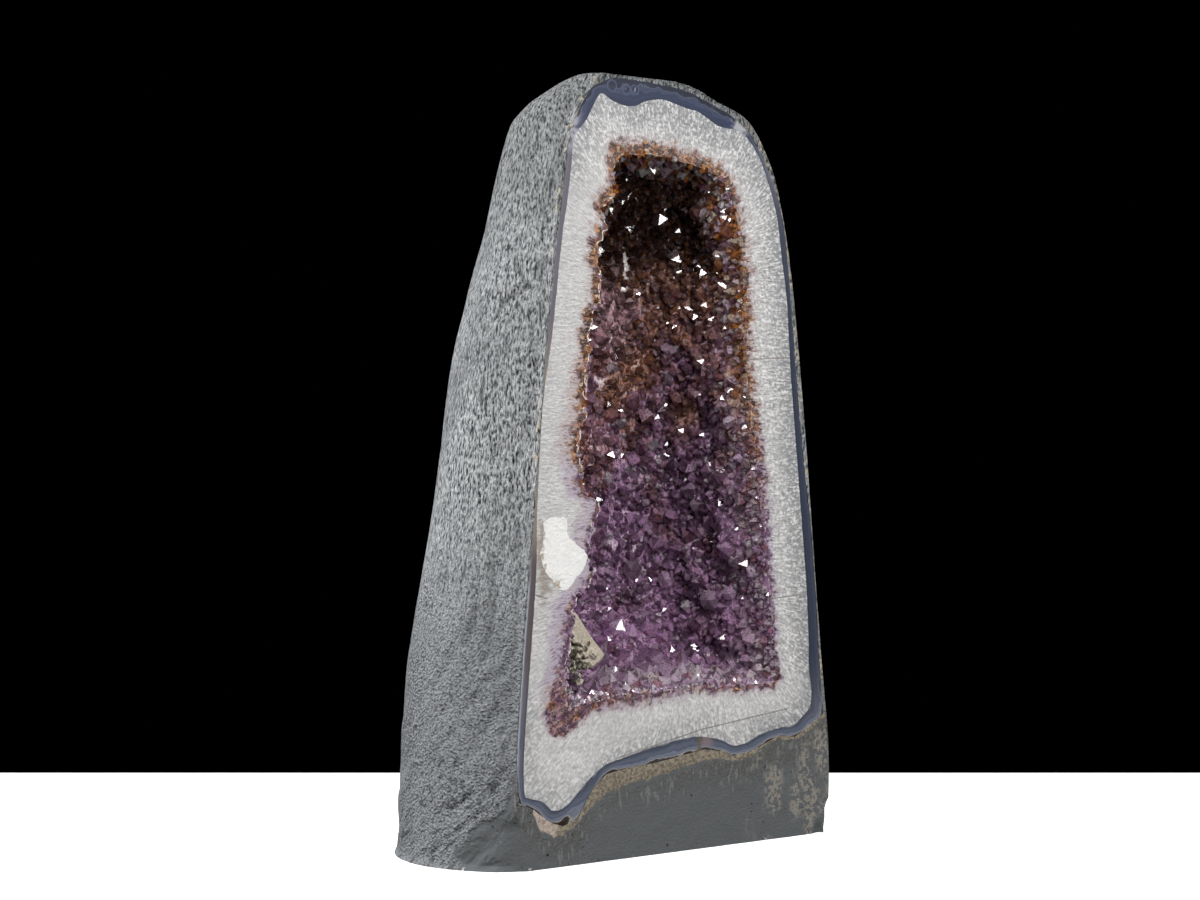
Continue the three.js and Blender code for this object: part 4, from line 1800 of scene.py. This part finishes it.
@dataclass(frozen=True)
class PointedCrystals:
    """Six-sided crystals with pyramid tips."""

    SIDES, TIP, ROOT = 6, 12, 13  # the tip and the root follow the two rings of vertices

    tilt: float = 0.27
    tall: tuple[float, float] = (0.05, 0.6)
    point: tuple[float, float] = (0.75, 1.15)

    def aimed(self, into: Array, facing: Array, point: float) -> tuple[Array, Array, Array]:
        """Turns crystals so that one tip face looks a given way.

        Args:
            into: direction each would grow in.
            facing: the way the tip face is to look.
            point: height of the tips.

        Returns:
            The axis and the two directions across each crystal.
        """
        half_turn = math.pi / self.SIDES
        sine = math.cos(half_turn) / math.hypot(point, math.cos(half_turn))
        across = unit(into - np.sum(into * facing, axis=1, keepdims=True) * facing)
        axis = sine * facing + math.sqrt(1 - sine ** 2) * across
        out = unit(facing - sine * axis)
        side = math.cos(half_turn) * out - math.sin(half_turn) * np.cross(axis, out)
        return axis, side, np.cross(axis, side)

    def shape(self, rng: np.random.Generator, roots: Array, into: Array,
              radii: Array, facing: Array) -> tuple[Array, Array]:
        """Shapes crystals, sawn off at the face where they reach it.

        Args:
            rng: source of their differences.
            roots: where they stand.
            into: direction each grows in.
            radii: their sizes.
            facing: the way a tip face looks, for the first few.

        Returns:
            Fourteen vertices by crystal, and a random kind by crystal.
        """
        count = len(roots)
        axis = unit(into + self.tilt * rng.normal(size=(count, 3)))
        side = unit(np.cross(axis, rng.normal(size=(count, 3))))
        other = np.cross(axis, side)
        angles = np.arange(self.SIDES) * 2 * math.pi / self.SIDES
        first = len(facing)
        axis[:first], side[:first], other[:first] = self.aimed(
            into[:first], facing, self.point[0])
        regular = (np.arange(count) < first)[:, None]
        uneven = 1 + 0.16 * rng.normal(size=(count, self.SIDES)).clip(-1.6, 1.6) * ~regular
        ring = (np.cos(angles)[None, :, None] * side[:, None]
                + np.sin(angles)[None, :, None] * other[:, None]) * uneven[..., None]
        tall = rng.uniform(*self.tall, count)
        point = np.where(regular[:, 0], self.point[0], rng.uniform(*self.point, count))
        lean = 0.22 * rng.normal(size=(count, 2)).clip(-1.4, 1.4) * ~regular
        shoulders = 0.16 * rng.normal(size=(count, self.SIDES)).clip(-1.5, 1.5) * ~regular
        low = ring * 0.9 - 0.9 * axis[:, None]
        up = ring + (tall[:, None] + shoulders)[..., None] * axis[:, None]
        tip = (tall + point)[:, None] * axis + lean[:, :1] * side + lean[:, 1:] * other
        shape = np.concatenate([low, up, tip[:, None], -1.1 * axis[:, None]], axis=1)
        solid = roots[:, None] + radii[:, None, None] * shape
        return np.maximum(solid, (-999, PROUD_FACE + 0.12, 0)), rng.random(count)

    def add(self, shell: Shell, solid: Array, values: dict[str, Array]) -> None:
        """Adds shaped crystals to a piece.

        Args:
            shell: the piece.
            solid: fourteen vertices by crystal.
            values: vertex values by crystal.
        """
        some = {key: np.repeat(value[:, None], solid.shape[1], axis=1)
                for key, value in values.items()}
        numbers = shell.add(solid, **some)
        low = np.arange(self.SIDES)
        low_next = (low + 1) % self.SIDES
        up, up_next = low + self.SIDES, low_next + self.SIDES
        sides = np.stack([low, low_next, up_next, up], axis=-1)
        shell.quads.append(numbers[:, sides].reshape(-1, 4))
        for first, second, end in ((up, up_next, self.TIP), (low_next, low, self.ROOT)):
            faces = np.stack([first, second, np.full(self.SIDES, end)], axis=-1)
            shell.triangles.append(numbers[:, faces].reshape(-1, 3))


@dataclass(frozen=True)
class Druse:
    """The crystals that line the hollow."""

    seed: int = 61
    tries: int = 16000
    crowding: float = 0.62
    sizes: tuple[float, float] = (1.8, 4.4)
    large: int = 150
    large_sizes: tuple[float, float] = (4.4, 7.0)
    glints: tuple[Place, ...] = (
        # x and z where a viewer in front on the left sees it, and size
        (-14, 354, 5.6), (-4, 332, 6.0), (28, 361, 5.4), (-21, 381, 5.0), (40, 315, 4.6),
        (4, 304, 5.0), (21, 298, 3.4), (13, 275, 4.8), (-3, 325, 3.2), (-3, 347, 2.8),
        (46, 296, 3.6), (25, 335, 3.4), (33, 258, 3.2), (-44, 126, 6.6), (34, 144, 4.4),
        (6, 120, 4.6), (-16, 114, 4.4), (-33, 160, 6.2), (13, 177, 3.8), (19, 141, 6.4),
        (57, 137, 5.2), (-10, 153, 5.6), (-27, 98, 3.6), (-46, 104, 3.6), (10, 95, 4.0),
        (33, 97, 4.2), (-66, 213, 3.4), (-35, 204, 3.6), (-11, 222, 3.4), (-17, 244, 2.8),
        (0, 237, 3.2), (11, 194, 5.0), (55, 181, 5.6), (48, 167, 3.8), (18, 111, 5.2),
        (32, 109, 5.4),
    )
    viewer: Place = (-654.0, -923.0, 225.0)
    high_lamp: Place = (740.0, -1422.0, 1100.0)
    low_lamp: Place = (-310.0, -1822.0, 200.0)
    high_lamp_below: float = 215.0  # crystals under this height throw the high lamp's light
    rusty_above: float = 230.0
    purple_below: float = 140.0
    points: PointedCrystals = PointedCrystals()

    def glint_spots(self, places: Array) -> Array:
        """Numbers of the bed's vertices nearest to the glints.

        Args:
            places: the bed's vertices, in a flat list.

        Returns:
            One number for each glint.
        """
        eye = np.array(self.viewer) + (0, FACE_Y, 0)
        sight = places - eye
        seen = eye + sight * ((FACE_Y - eye[1]) / sight[:, 1:2])
        away = 0.04 * np.linalg.norm(sight, axis=1)
        return np.array([np.argmin(np.hypot(seen[:, 0] - x, seen[:, 2] - z) + away)
                         for x, z, _ in self.glints])

    def facing(self, roots: Array) -> Array:
        """The way a face looks that throws a lamp's light to the viewer.

        Args:
            roots: where the crystals stand.

        Returns:
            One direction for each.
        """
        eye, high, low = (np.array(place) + (0, FACE_Y, 0) for place in (
            self.viewer, self.high_lamp, self.low_lamp))
        lamp = np.where(roots[:, 2:] > self.high_lamp_below, low, high)
        return unit(unit(eye - roots) + unit(lamp - roots))

    def roots(self, rng: np.random.Generator) -> tuple[Array, Array, Array]:
        """Places the crystals on the bed, the large ones first.

        Args:
            rng: source of the scatter.

        Returns:
            Roots, directions into the hollow, and radii.
        """
        places, into = HollowBed().surface()
        across = np.roll(places, -1, axis=1)[:-1] - places[:-1]
        area = np.linalg.norm(np.cross(across, places[1:] - places[:-1]), axis=-1)
        chosen = rng.choice(area.size, self.tries, p=area.ravel() / area.sum())
        row, column = np.unravel_index(chosen, area.shape)
        u, v = rng.random((2, self.tries, 1))
        beside = (column + 1) % places.shape[1]
        spots = ((places[row, column] * (1 - u) + places[row, beside] * u) * (1 - v)
                 + (places[row + 1, column] * (1 - u) + places[row + 1, beside] * u) * v)
        low, high = self.sizes
        radii = low + (high - low) * rng.random(self.tries) ** 1.6
        floor = smoothstep(150, 70, spots[:, 2])
        radii *= 1 + 0.25 * floor + 0.5 * smoothstep(112, 98, spots[:, 2])
        low, high = self.large_sizes
        behind = spots[:, 1] - FACE_Y
        radii[:self.large] = np.sort(low + (high - low) * rng.random(self.large) ** 1.5)[::-1]
        radii = np.minimum(radii, 1.5 + 0.22 * behind)
        glints = self.glint_spots(places.reshape(-1, 3))
        spots[:len(glints)] = places.reshape(-1, 3)[glints]
        row[:len(glints)], column[:len(glints)] = np.divmod(glints, places.shape[1])
        radii[:len(glints)] = np.minimum(np.array(self.glints)[:, 2],
                                         1.2 + 0.2 * (spots[:len(glints), 1] - FACE_Y))
        kept = self.spaced(spots, radii, len(glints))
        return spots[kept], into[row, column][kept], radii[kept]

    def spaced(self, spots: Array, radii: Array, first: int) -> Array:
        """Picks crystals that don't crowd those picked before them.

        Args:
            spots: where they stand.
            radii: their sizes.
            first: how many are picked anyway.

        Returns:
            Which are picked.
        """
        kept = np.zeros(len(spots), bool)
        for k, spot in enumerate(spots):
            gap = np.sum((spots[kept] - spot) ** 2, axis=1)
            room = self.crowding * (radii[kept] + radii[k])
            kept[k] = k < first or np.all(gap > room ** 2)
        return kept

    def dressed(self, roots: Array, kind: Array) -> dict[str, Array]:
        """Tint and rust of each crystal.

        Args:
            roots: where the crystals stand.
            kind: a random number from 0 to 1 for each.

        Returns:
            The vertex values by name.
        """
        values = Zones.tinted(roots)
        x, behind, z = face_axes(roots)
        lit = (0.5 + 0.95 * kind ** 1.3) * (1 + 0.55 * smoothstep(140, 116, z))
        tint = values["tint"][:, :3] * lit[:, None]
        rim = smoothstep(30, 14, behind) * smoothstep(165, 240, z)
        # The rim crystals' colours are lightened by a painted highlight, more so near the top,
        # where the hollow's roof keeps the lamps off them
        painted_highlight = (1.15 + 0.45 * smoothstep(325, 360, z))[:, None]
        tint = blended(0.9 * rim, tint, painted_highlight * Zones.picked(Zones.RIM, kind * 997))
        side = smoothstep(34, 46, x) * smoothstep(34, 12, behind)
        sill = np.maximum(smoothstep(112, 101, z) * smoothstep(48, 26, behind),
                          0.9 * side * smoothstep(270, 215, z))
        tint = blended(0.8 * sill, tint, Zones.picked(Zones.SILL, kind * 613))
        clear = smoothstep(0.955, 0.965, kind) * smoothstep(330, 250, z)
        clear[:len(self.glints)] = 0.25
        tint = blended(clear, tint, Zones.CLEAR)
        rust = (1 - clear) * (0.55 + 0.6 * kind) * (1 - 0.5 * rim) * (1 - 0.7 * sill)
        return {"tint": opaque(np.clip(tint, 0, 1)), "rust": values["rust"] * rust}

    def build(self) -> list[Thing]:
        """Makes the pieces.

        Returns:
            The crystals in three parts, from the top down.
        """
        rng = np.random.default_rng(self.seed)
        roots, into, radii = self.roots(rng)
        solid, kind = self.points.shape(rng, roots, into, radii,
                                        self.facing(roots[:len(self.glints)]))
        values = self.dressed(roots, kind)
        log.info("druse: %d crystals", len(roots))
        z = roots[:, 2]
        pieces = []
        rusty, purple = z > self.rusty_above, z <= self.purple_below
        for name, chosen in (("druse_rusty", rusty), ("druse_middle", ~rusty & ~purple),
                             ("druse_purple", purple)):
            shell = Shell()
            self.points.add(shell, solid[chosen],
                            {key: value[chosen] for key, value in values.items()})
            pieces.append(shell.piece(name, Slot.AMETHYST))
        return pieces


@dataclass(frozen=True)
class CalcitePatch:
    """The white calcite lump that the saw cut through beside the mouth."""

    outline: Outline = (
        (-90.5, 186), (-86, 188.5), (-78, 188), (-75.3, 185), (-75.5, 180), (-71, 175),
        (-62.5, 167), (-66, 159.5), (-72, 152.5), (-75.7, 150), (-81, 150), (-86, 155.5),
        (-90.5, 162), (-92.5, 169), (-91, 174.5), (-90, 181),
    )
    columns: int = 240
    rings: int = 26
    depth: float = 9.0

    def build(self) -> Thing:
        """Makes the piece.

        Returns:
            The lump.
        """
        shell = Shell()
        loop = even_spacing(closed_curve(self.outline), self.columns)
        hub = loop.mean(axis=0)
        loop = loop + unit(loop - hub) * (0.9 * flat_noise(71, loop, 4.5, 3)[:, None])
        share = 1 - (np.arange(self.rings) / self.rings) ** 1.2
        flat = hub + (loop - hub) * share[:, None, None]
        relief = np.clip(flat_noise(72, flat, 6, 3), -0.8, 0.8)
        front = shell.add(face_places(flat, PROUD_FACE + 0.1 + 0.11 * relief),
                          stained=self.stained(flat))
        shell.cap(front[-1], (hub[0], PROUD_FACE + 0.1, hub[1]))
        back = shell.add(face_places(loop, PROUD_FACE + self.depth),
                         **shell.blank(self.columns))
        shell.cap(back, (hub[0], PROUD_FACE + self.depth, hub[1]))
        shell.bands(np.vstack([back[None], front]), closed=True)
        return shell.piece("calcite_patch_white", Slot.CALCITE_WHITE, "calcite_patch")

    def stained(self, flat: Array) -> Array:
        """Brown stain along the left edge and at the lower left.

        Args:
            flat: x, z places.

        Returns:
            How much of the stain shows.
        """
        x, z = flat[..., 0], flat[..., 1]
        margin = smoothstep(-85.5, -91, x + 1.5 * flat_noise(73, flat, 3))
        low = smoothstep(9, 2, np.hypot(x + 84, z - 152))
        return 0.22 * margin + 0.36 * low - 0.06


@dataclass(frozen=True)
class CalciteCrystal:
    """A blade of beige calcite across the mouth, with a dark cluster at its foot."""

    top: Place = (-73.5, 6.5, 136.0)
    foot: Place = (-51.5, 10.5, 108.0)
    width: float = 11.5
    thick: float = 6.5
    rounding: float = 1.1
    cuts: int = 5
    cluster: int = 70
    cluster_middle: Place = (-66.0, FACE_Y + 8.5, 111.0)
    cluster_spread: Place = (5.0, 2.5, 5.5)

    def build(self) -> list[Thing]:
        """Makes the pieces.

        Returns:
            The blade and the cluster.
        """
        start, end = (np.array(p) + (SHIFT_X, FACE_Y, 0) for p in (self.top, self.foot))
        way = end - start
        blade = self.block("calcite_blade_beige", (start + end) / 2,
                           (np.linalg.norm(way), self.thick, self.width),
                           math.atan2(way[2], way[0]))
        enlist(blade, Slot.CALCITE_BEIGE, "calcite_crystal")
        return [blade, self.grown_on()]

    def grown_on(self) -> Thing:
        """Makes the dark speckled crystals at the blade's foot.

        Returns:
            The cluster.
        """
        rng = np.random.default_rng(76)
        middle = np.array(self.cluster_middle)
        roots = middle + rng.normal(size=(self.cluster, 3)) * self.cluster_spread
        into = unit(roots - middle + (0.0, -6.0, 0.0))
        radii = rng.uniform(1.1, 2.6, self.cluster)
        points = PointedCrystals(tilt=0.5)
        solid = points.shape(rng, roots, into, radii, np.empty((0, 3)))[0]
        shell = Shell()
        points.add(shell, solid, {"stained": rng.uniform(-0.05, 0.5, self.cluster)})
        return shell.piece("calcite_cluster", Slot.CALCITE_BEIGE)

    def block(self, name: str, middle: Array, size: Place, turn: float) -> Thing:
        """Models one rough block.

        Args:
            name: the piece's name.
            middle: its centre in millimetres.
            size: length, thickness and width.
            turn: slope about the y axis.

        Returns:
            The piece.
        """
        bpy.ops.object.select_all(action="DESELECT")
        bpy.ops.mesh.primitive_cube_add(size=1.0)
        thing = bpy.context.object
        thing.name = name
        bpy.ops.object.mode_set(mode="EDIT")
        bpy.ops.mesh.select_all(action="SELECT")
        bpy.ops.transform.resize(value=tuple(s * MM for s in size), center_override=(0, 0, 0))
        bpy.ops.mesh.bevel(offset=self.rounding * MM, segments=1)
        bpy.ops.mesh.subdivide(number_cuts=self.cuts)
        bpy.ops.transform.rotate(value=turn, orient_axis="Y", center_override=(0, 0, 0))
        bpy.ops.transform.translate(value=tuple(middle * MM))
        bpy.ops.object.mode_set(mode="OBJECT")
        places = np.empty(len(thing.data.vertices) * 3)
        thing.data.vertices.foreach_get("co", places)
        places = places.reshape(-1, 3) / MM
        bump = np.maximum(Noise(75).layered(places / 5, 3) + 0.3, 0)
        places = places + unit(middle - places) * (0.8 * bump)[:, None]
        from_stain = np.linalg.norm(places - (middle + (-3, 0, -7)), axis=1)
        stained = 0.55 * smoothstep(10, 1, from_stain) - 0.05
        thing.data.vertices.foreach_set("co", (places * MM).ravel())
        kind, key = LAYER_KINDS[1]
        layer = thing.data.attributes.new("stained", kind, "POINT")
        layer.data.foreach_set(key, stained.astype(np.float32))
        thing.data.update()
        return thing


@dataclass(frozen=True)
class NaturalSkin:
    """The strip of tan natural skin left between the stone and the foot."""

    columns: int = 520
    rows: int = 14
    thick: float = 1.4
    left: float = -97.0
    right: float = 104.0
    tall: Outline = (
        # x and how far the strip reaches down there
        (-97, 4), (-92, 12), (-84, 10), (-76, 5), (-69, 4), (-62, 9), (-52, 15), (-35, 12),
        (-17, 10), (17, 8.5), (30, 5.4), (49, 5), (53, 2.2), (81, 3), (94, 4), (104, 3),
    )

    def build(self) -> Thing:
        """Makes the piece.

        Returns:
            The strip.
        """
        shell = Shell()
        x = np.linspace(self.left, self.right, self.columns)
        upper = np.interp(x, *np.transpose(FOOT_TOP)) + 0.5
        ragged = 1.6 * flat_noise(81, np.stack([x, 0 * x], axis=-1), 7, 3)
        tall = np.maximum(np.interp(x, *np.transpose(self.tall)) + ragged, 0.6)
        share = np.append(np.arange(self.rows + 1) / self.rows, (1.0, 0.0))[:, None]
        flat = np.stack([x + 0 * share, upper - tall * share], axis=-1)
        lift = 0.22 - 0.14 * np.sin(np.minimum(share * 1.15, 1) * math.pi)
        lift = np.maximum(lift + 0.07 * flat_noise(82, flat, 2.6, 2), 0.02)
        lift[-2:] = self.thick
        pale = smoothstep(-78, -86, x) + 0 * share
        pale[-2:] = 0
        grid = shell.add(face_places(flat, FACE_Y + lift), pale=pale,
                         fade=smoothstep(0.45, 1.0, share) + 0 * x)
        shell.bands(np.vstack([grid, grid[:1]]), closed=False)
        for end in (0, -1):
            ring = grid[:, end]
            shell.cap(ring if end else ring[::-1],
                      (x[end], FACE_Y + 0.8, (upper - tall / 2)[end]))
        return shell.piece("natural_skin_strip", Slot.SKIN)


# ---- Studio ----
@dataclass(frozen=True)
class Studio:
    """Camera, dark room, pale table and soft lights."""

    eye: Place = (-654.3, -923.4, 225.0)
    turn: float = math.radians(33.0)
    lens: float = 60.5
    sensor: float = 36.0
    aim: Place = (0.0, 0.0, 0.2)  # of the lights, in metres
    table_near: float = -3000.0
    table_far: float = 1405.0
    table_side: float = 6000.0

    def floor_spot(self, ahead: float, right: float) -> Vector:
        """A spot on the floor, by the millimetres ahead of the camera and right of its view."""
        sine, cosine = math.sin(self.turn), math.cos(self.turn)
        return Vector((self.eye[0] + SHIFT_X + ahead * sine + right * cosine,
                       self.eye[1] + FACE_Y + ahead * cosine - right * sine, 0.0)) * MM

    def camera(self) -> None:
        """Sets the camera."""
        data = bpy.data.cameras.new("camera")
        data.lens, data.sensor_width = self.lens, self.sensor
        camera = bpy.data.objects.new("camera", data)
        camera.location = self.floor_spot(0, 0) + Vector((0, 0, self.eye[2] * MM))
        camera.rotation_euler = (math.pi / 2, 0, -self.turn)
        bpy.context.scene.collection.objects.link(camera)
        bpy.context.scene.camera = camera

    def table(self) -> None:
        """Lays the pale table top."""
        near, far, side = self.table_near, self.table_far, self.table_side
        corners = [self.floor_spot(ahead, right) for ahead, right in (
            (near, -side), (near, side), (far, side), (far, -side))]
        mesh = bpy.data.meshes.new("table")
        mesh.from_pydata(corners, [], [(0, 1, 2, 3)])
        table = bpy.data.objects.new("table", mesh)
        bpy.context.scene.collection.objects.link(table)
        r = Recipe("pale_table")
        r.set(base_color=(0.9, 0.9, 0.91), roughness=0.5, emission_color=(1.0, 1.0, 1.0),
              emission_strength=0.75)
        mesh.materials.append(r.material)
        table.visible_diffuse = table.visible_glossy = table.visible_transmission = False

    def light(self, name: str, place: Place, size: float, power: float,
              glossy: bool = False, diffuse: bool = True) -> None:
        """Adds one soft box.

        Args:
            name: its name.
            place: metres in the frame.
            size: side in metres.
            power: watts.
            glossy: whether polished faces reflect it.
            diffuse: whether it lights matt surfaces.
        """
        data = bpy.data.lights.new(name, "AREA")
        data.size, data.energy = size, power
        lamp = bpy.data.objects.new(name, data)
        lamp.location = place
        aim = Vector(self.aim) - Vector(place)
        lamp.rotation_euler = aim.to_track_quat("-Z", "Y").to_euler()
        lamp.visible_camera = False
        lamp.visible_glossy = glossy
        lamp.visible_diffuse = diffuse
        bpy.context.scene.collection.objects.link(lamp)

    def build(self) -> None:
        """Sets up the whole studio."""
        world = bpy.data.worlds.new("dim_room")
        world.use_nodes = True
        background = world.node_tree.nodes["Background"]
        background.inputs["Color"].default_value = (1.0, 1.0, 1.0, 1.0)
        background.inputs["Strength"].default_value = 0.0
        bpy.context.scene.world = world
        bpy.context.scene.view_settings.view_transform = "Standard"
        self.camera()
        self.table()
        self.light("key_box", (-1.35, 0.72, 0.85), 0.4, 36)
        self.light("side_box", (-1.6, -0.5, 1.0), 0.5, 9)
        self.light("front_box", (-0.75, -2.5, 2.2), 0.6, 72, True)
        self.light("low_front_box", (-0.3, -1.9, 0.2), 0.3, 8, True)
        self.light("spark_box", (0.75, -1.5, 1.1), 0.35, 9, True, False)
        self.light("glint_box", (-1.3, -1.3, 1.25), 0.42, 14, True, False)
        self.light("rim_box", (1.2, -0.5, 0.9), 0.5, 7, True)
        self.light("right_box", (1.6, 0.5, 0.8), 0.8, 12)
        self.light("back_box", (0.3, 1.5, 0.9), 1.0, 24)


def dress(pieces: list[Thing], material: Material) -> None:
    """Gives pieces one finish.

    Args:
        pieces: the pieces.
        material: the finish.
    """
    for piece in pieces:
        piece.data.materials.clear()
        piece.data.materials.append(material)


def main() -> None:
    """Builds the stone, its finishes and the studio."""
    logging.basicConfig(level=logging.INFO, format="%(message)s")
    dress([CementCoat().build()], CementFinish().material())
    dress([AgateRind().build()], AgateFinish().material())
    dress([QuartzWall().build()], QuartzFinish().material())
    dress([HollowBed().build()], CrystalFinish(
        "amethyst_bed", transmission=0.1, roughness=0.25, absorption=(0.5, 0.25, 0.62),
        density=60.0, specks=0.9).material())
    dress(Druse().build(), CrystalFinish(
        "amethyst_points", transmission=0.6, roughness=0.035, absorption=(0.66, 0.46, 0.74),
        density=60.0).material())
    dress([CalcitePatch().build()], GrainyFinish(
        "white_calcite", light=(0.96, 0.95, 0.93), dark=(0.90, 0.88, 0.85),
        stain=(0.34, 0.25, 0.17), stain_share=0.8, roughness=0.6, glow=0.22).material())
    dress(CalciteCrystal().build(), GrainyFinish(
        "beige_calcite", light=(0.62, 0.55, 0.45), dark=(0.42, 0.36, 0.28),
        stain=(0.05, 0.045, 0.03), stain_share=1.0, roughness=0.55, glow=0.1).material())
    dress([NaturalSkin().build()], SkinFinish().material())
    Studio().build()


if __name__ == "__main__":
    main()
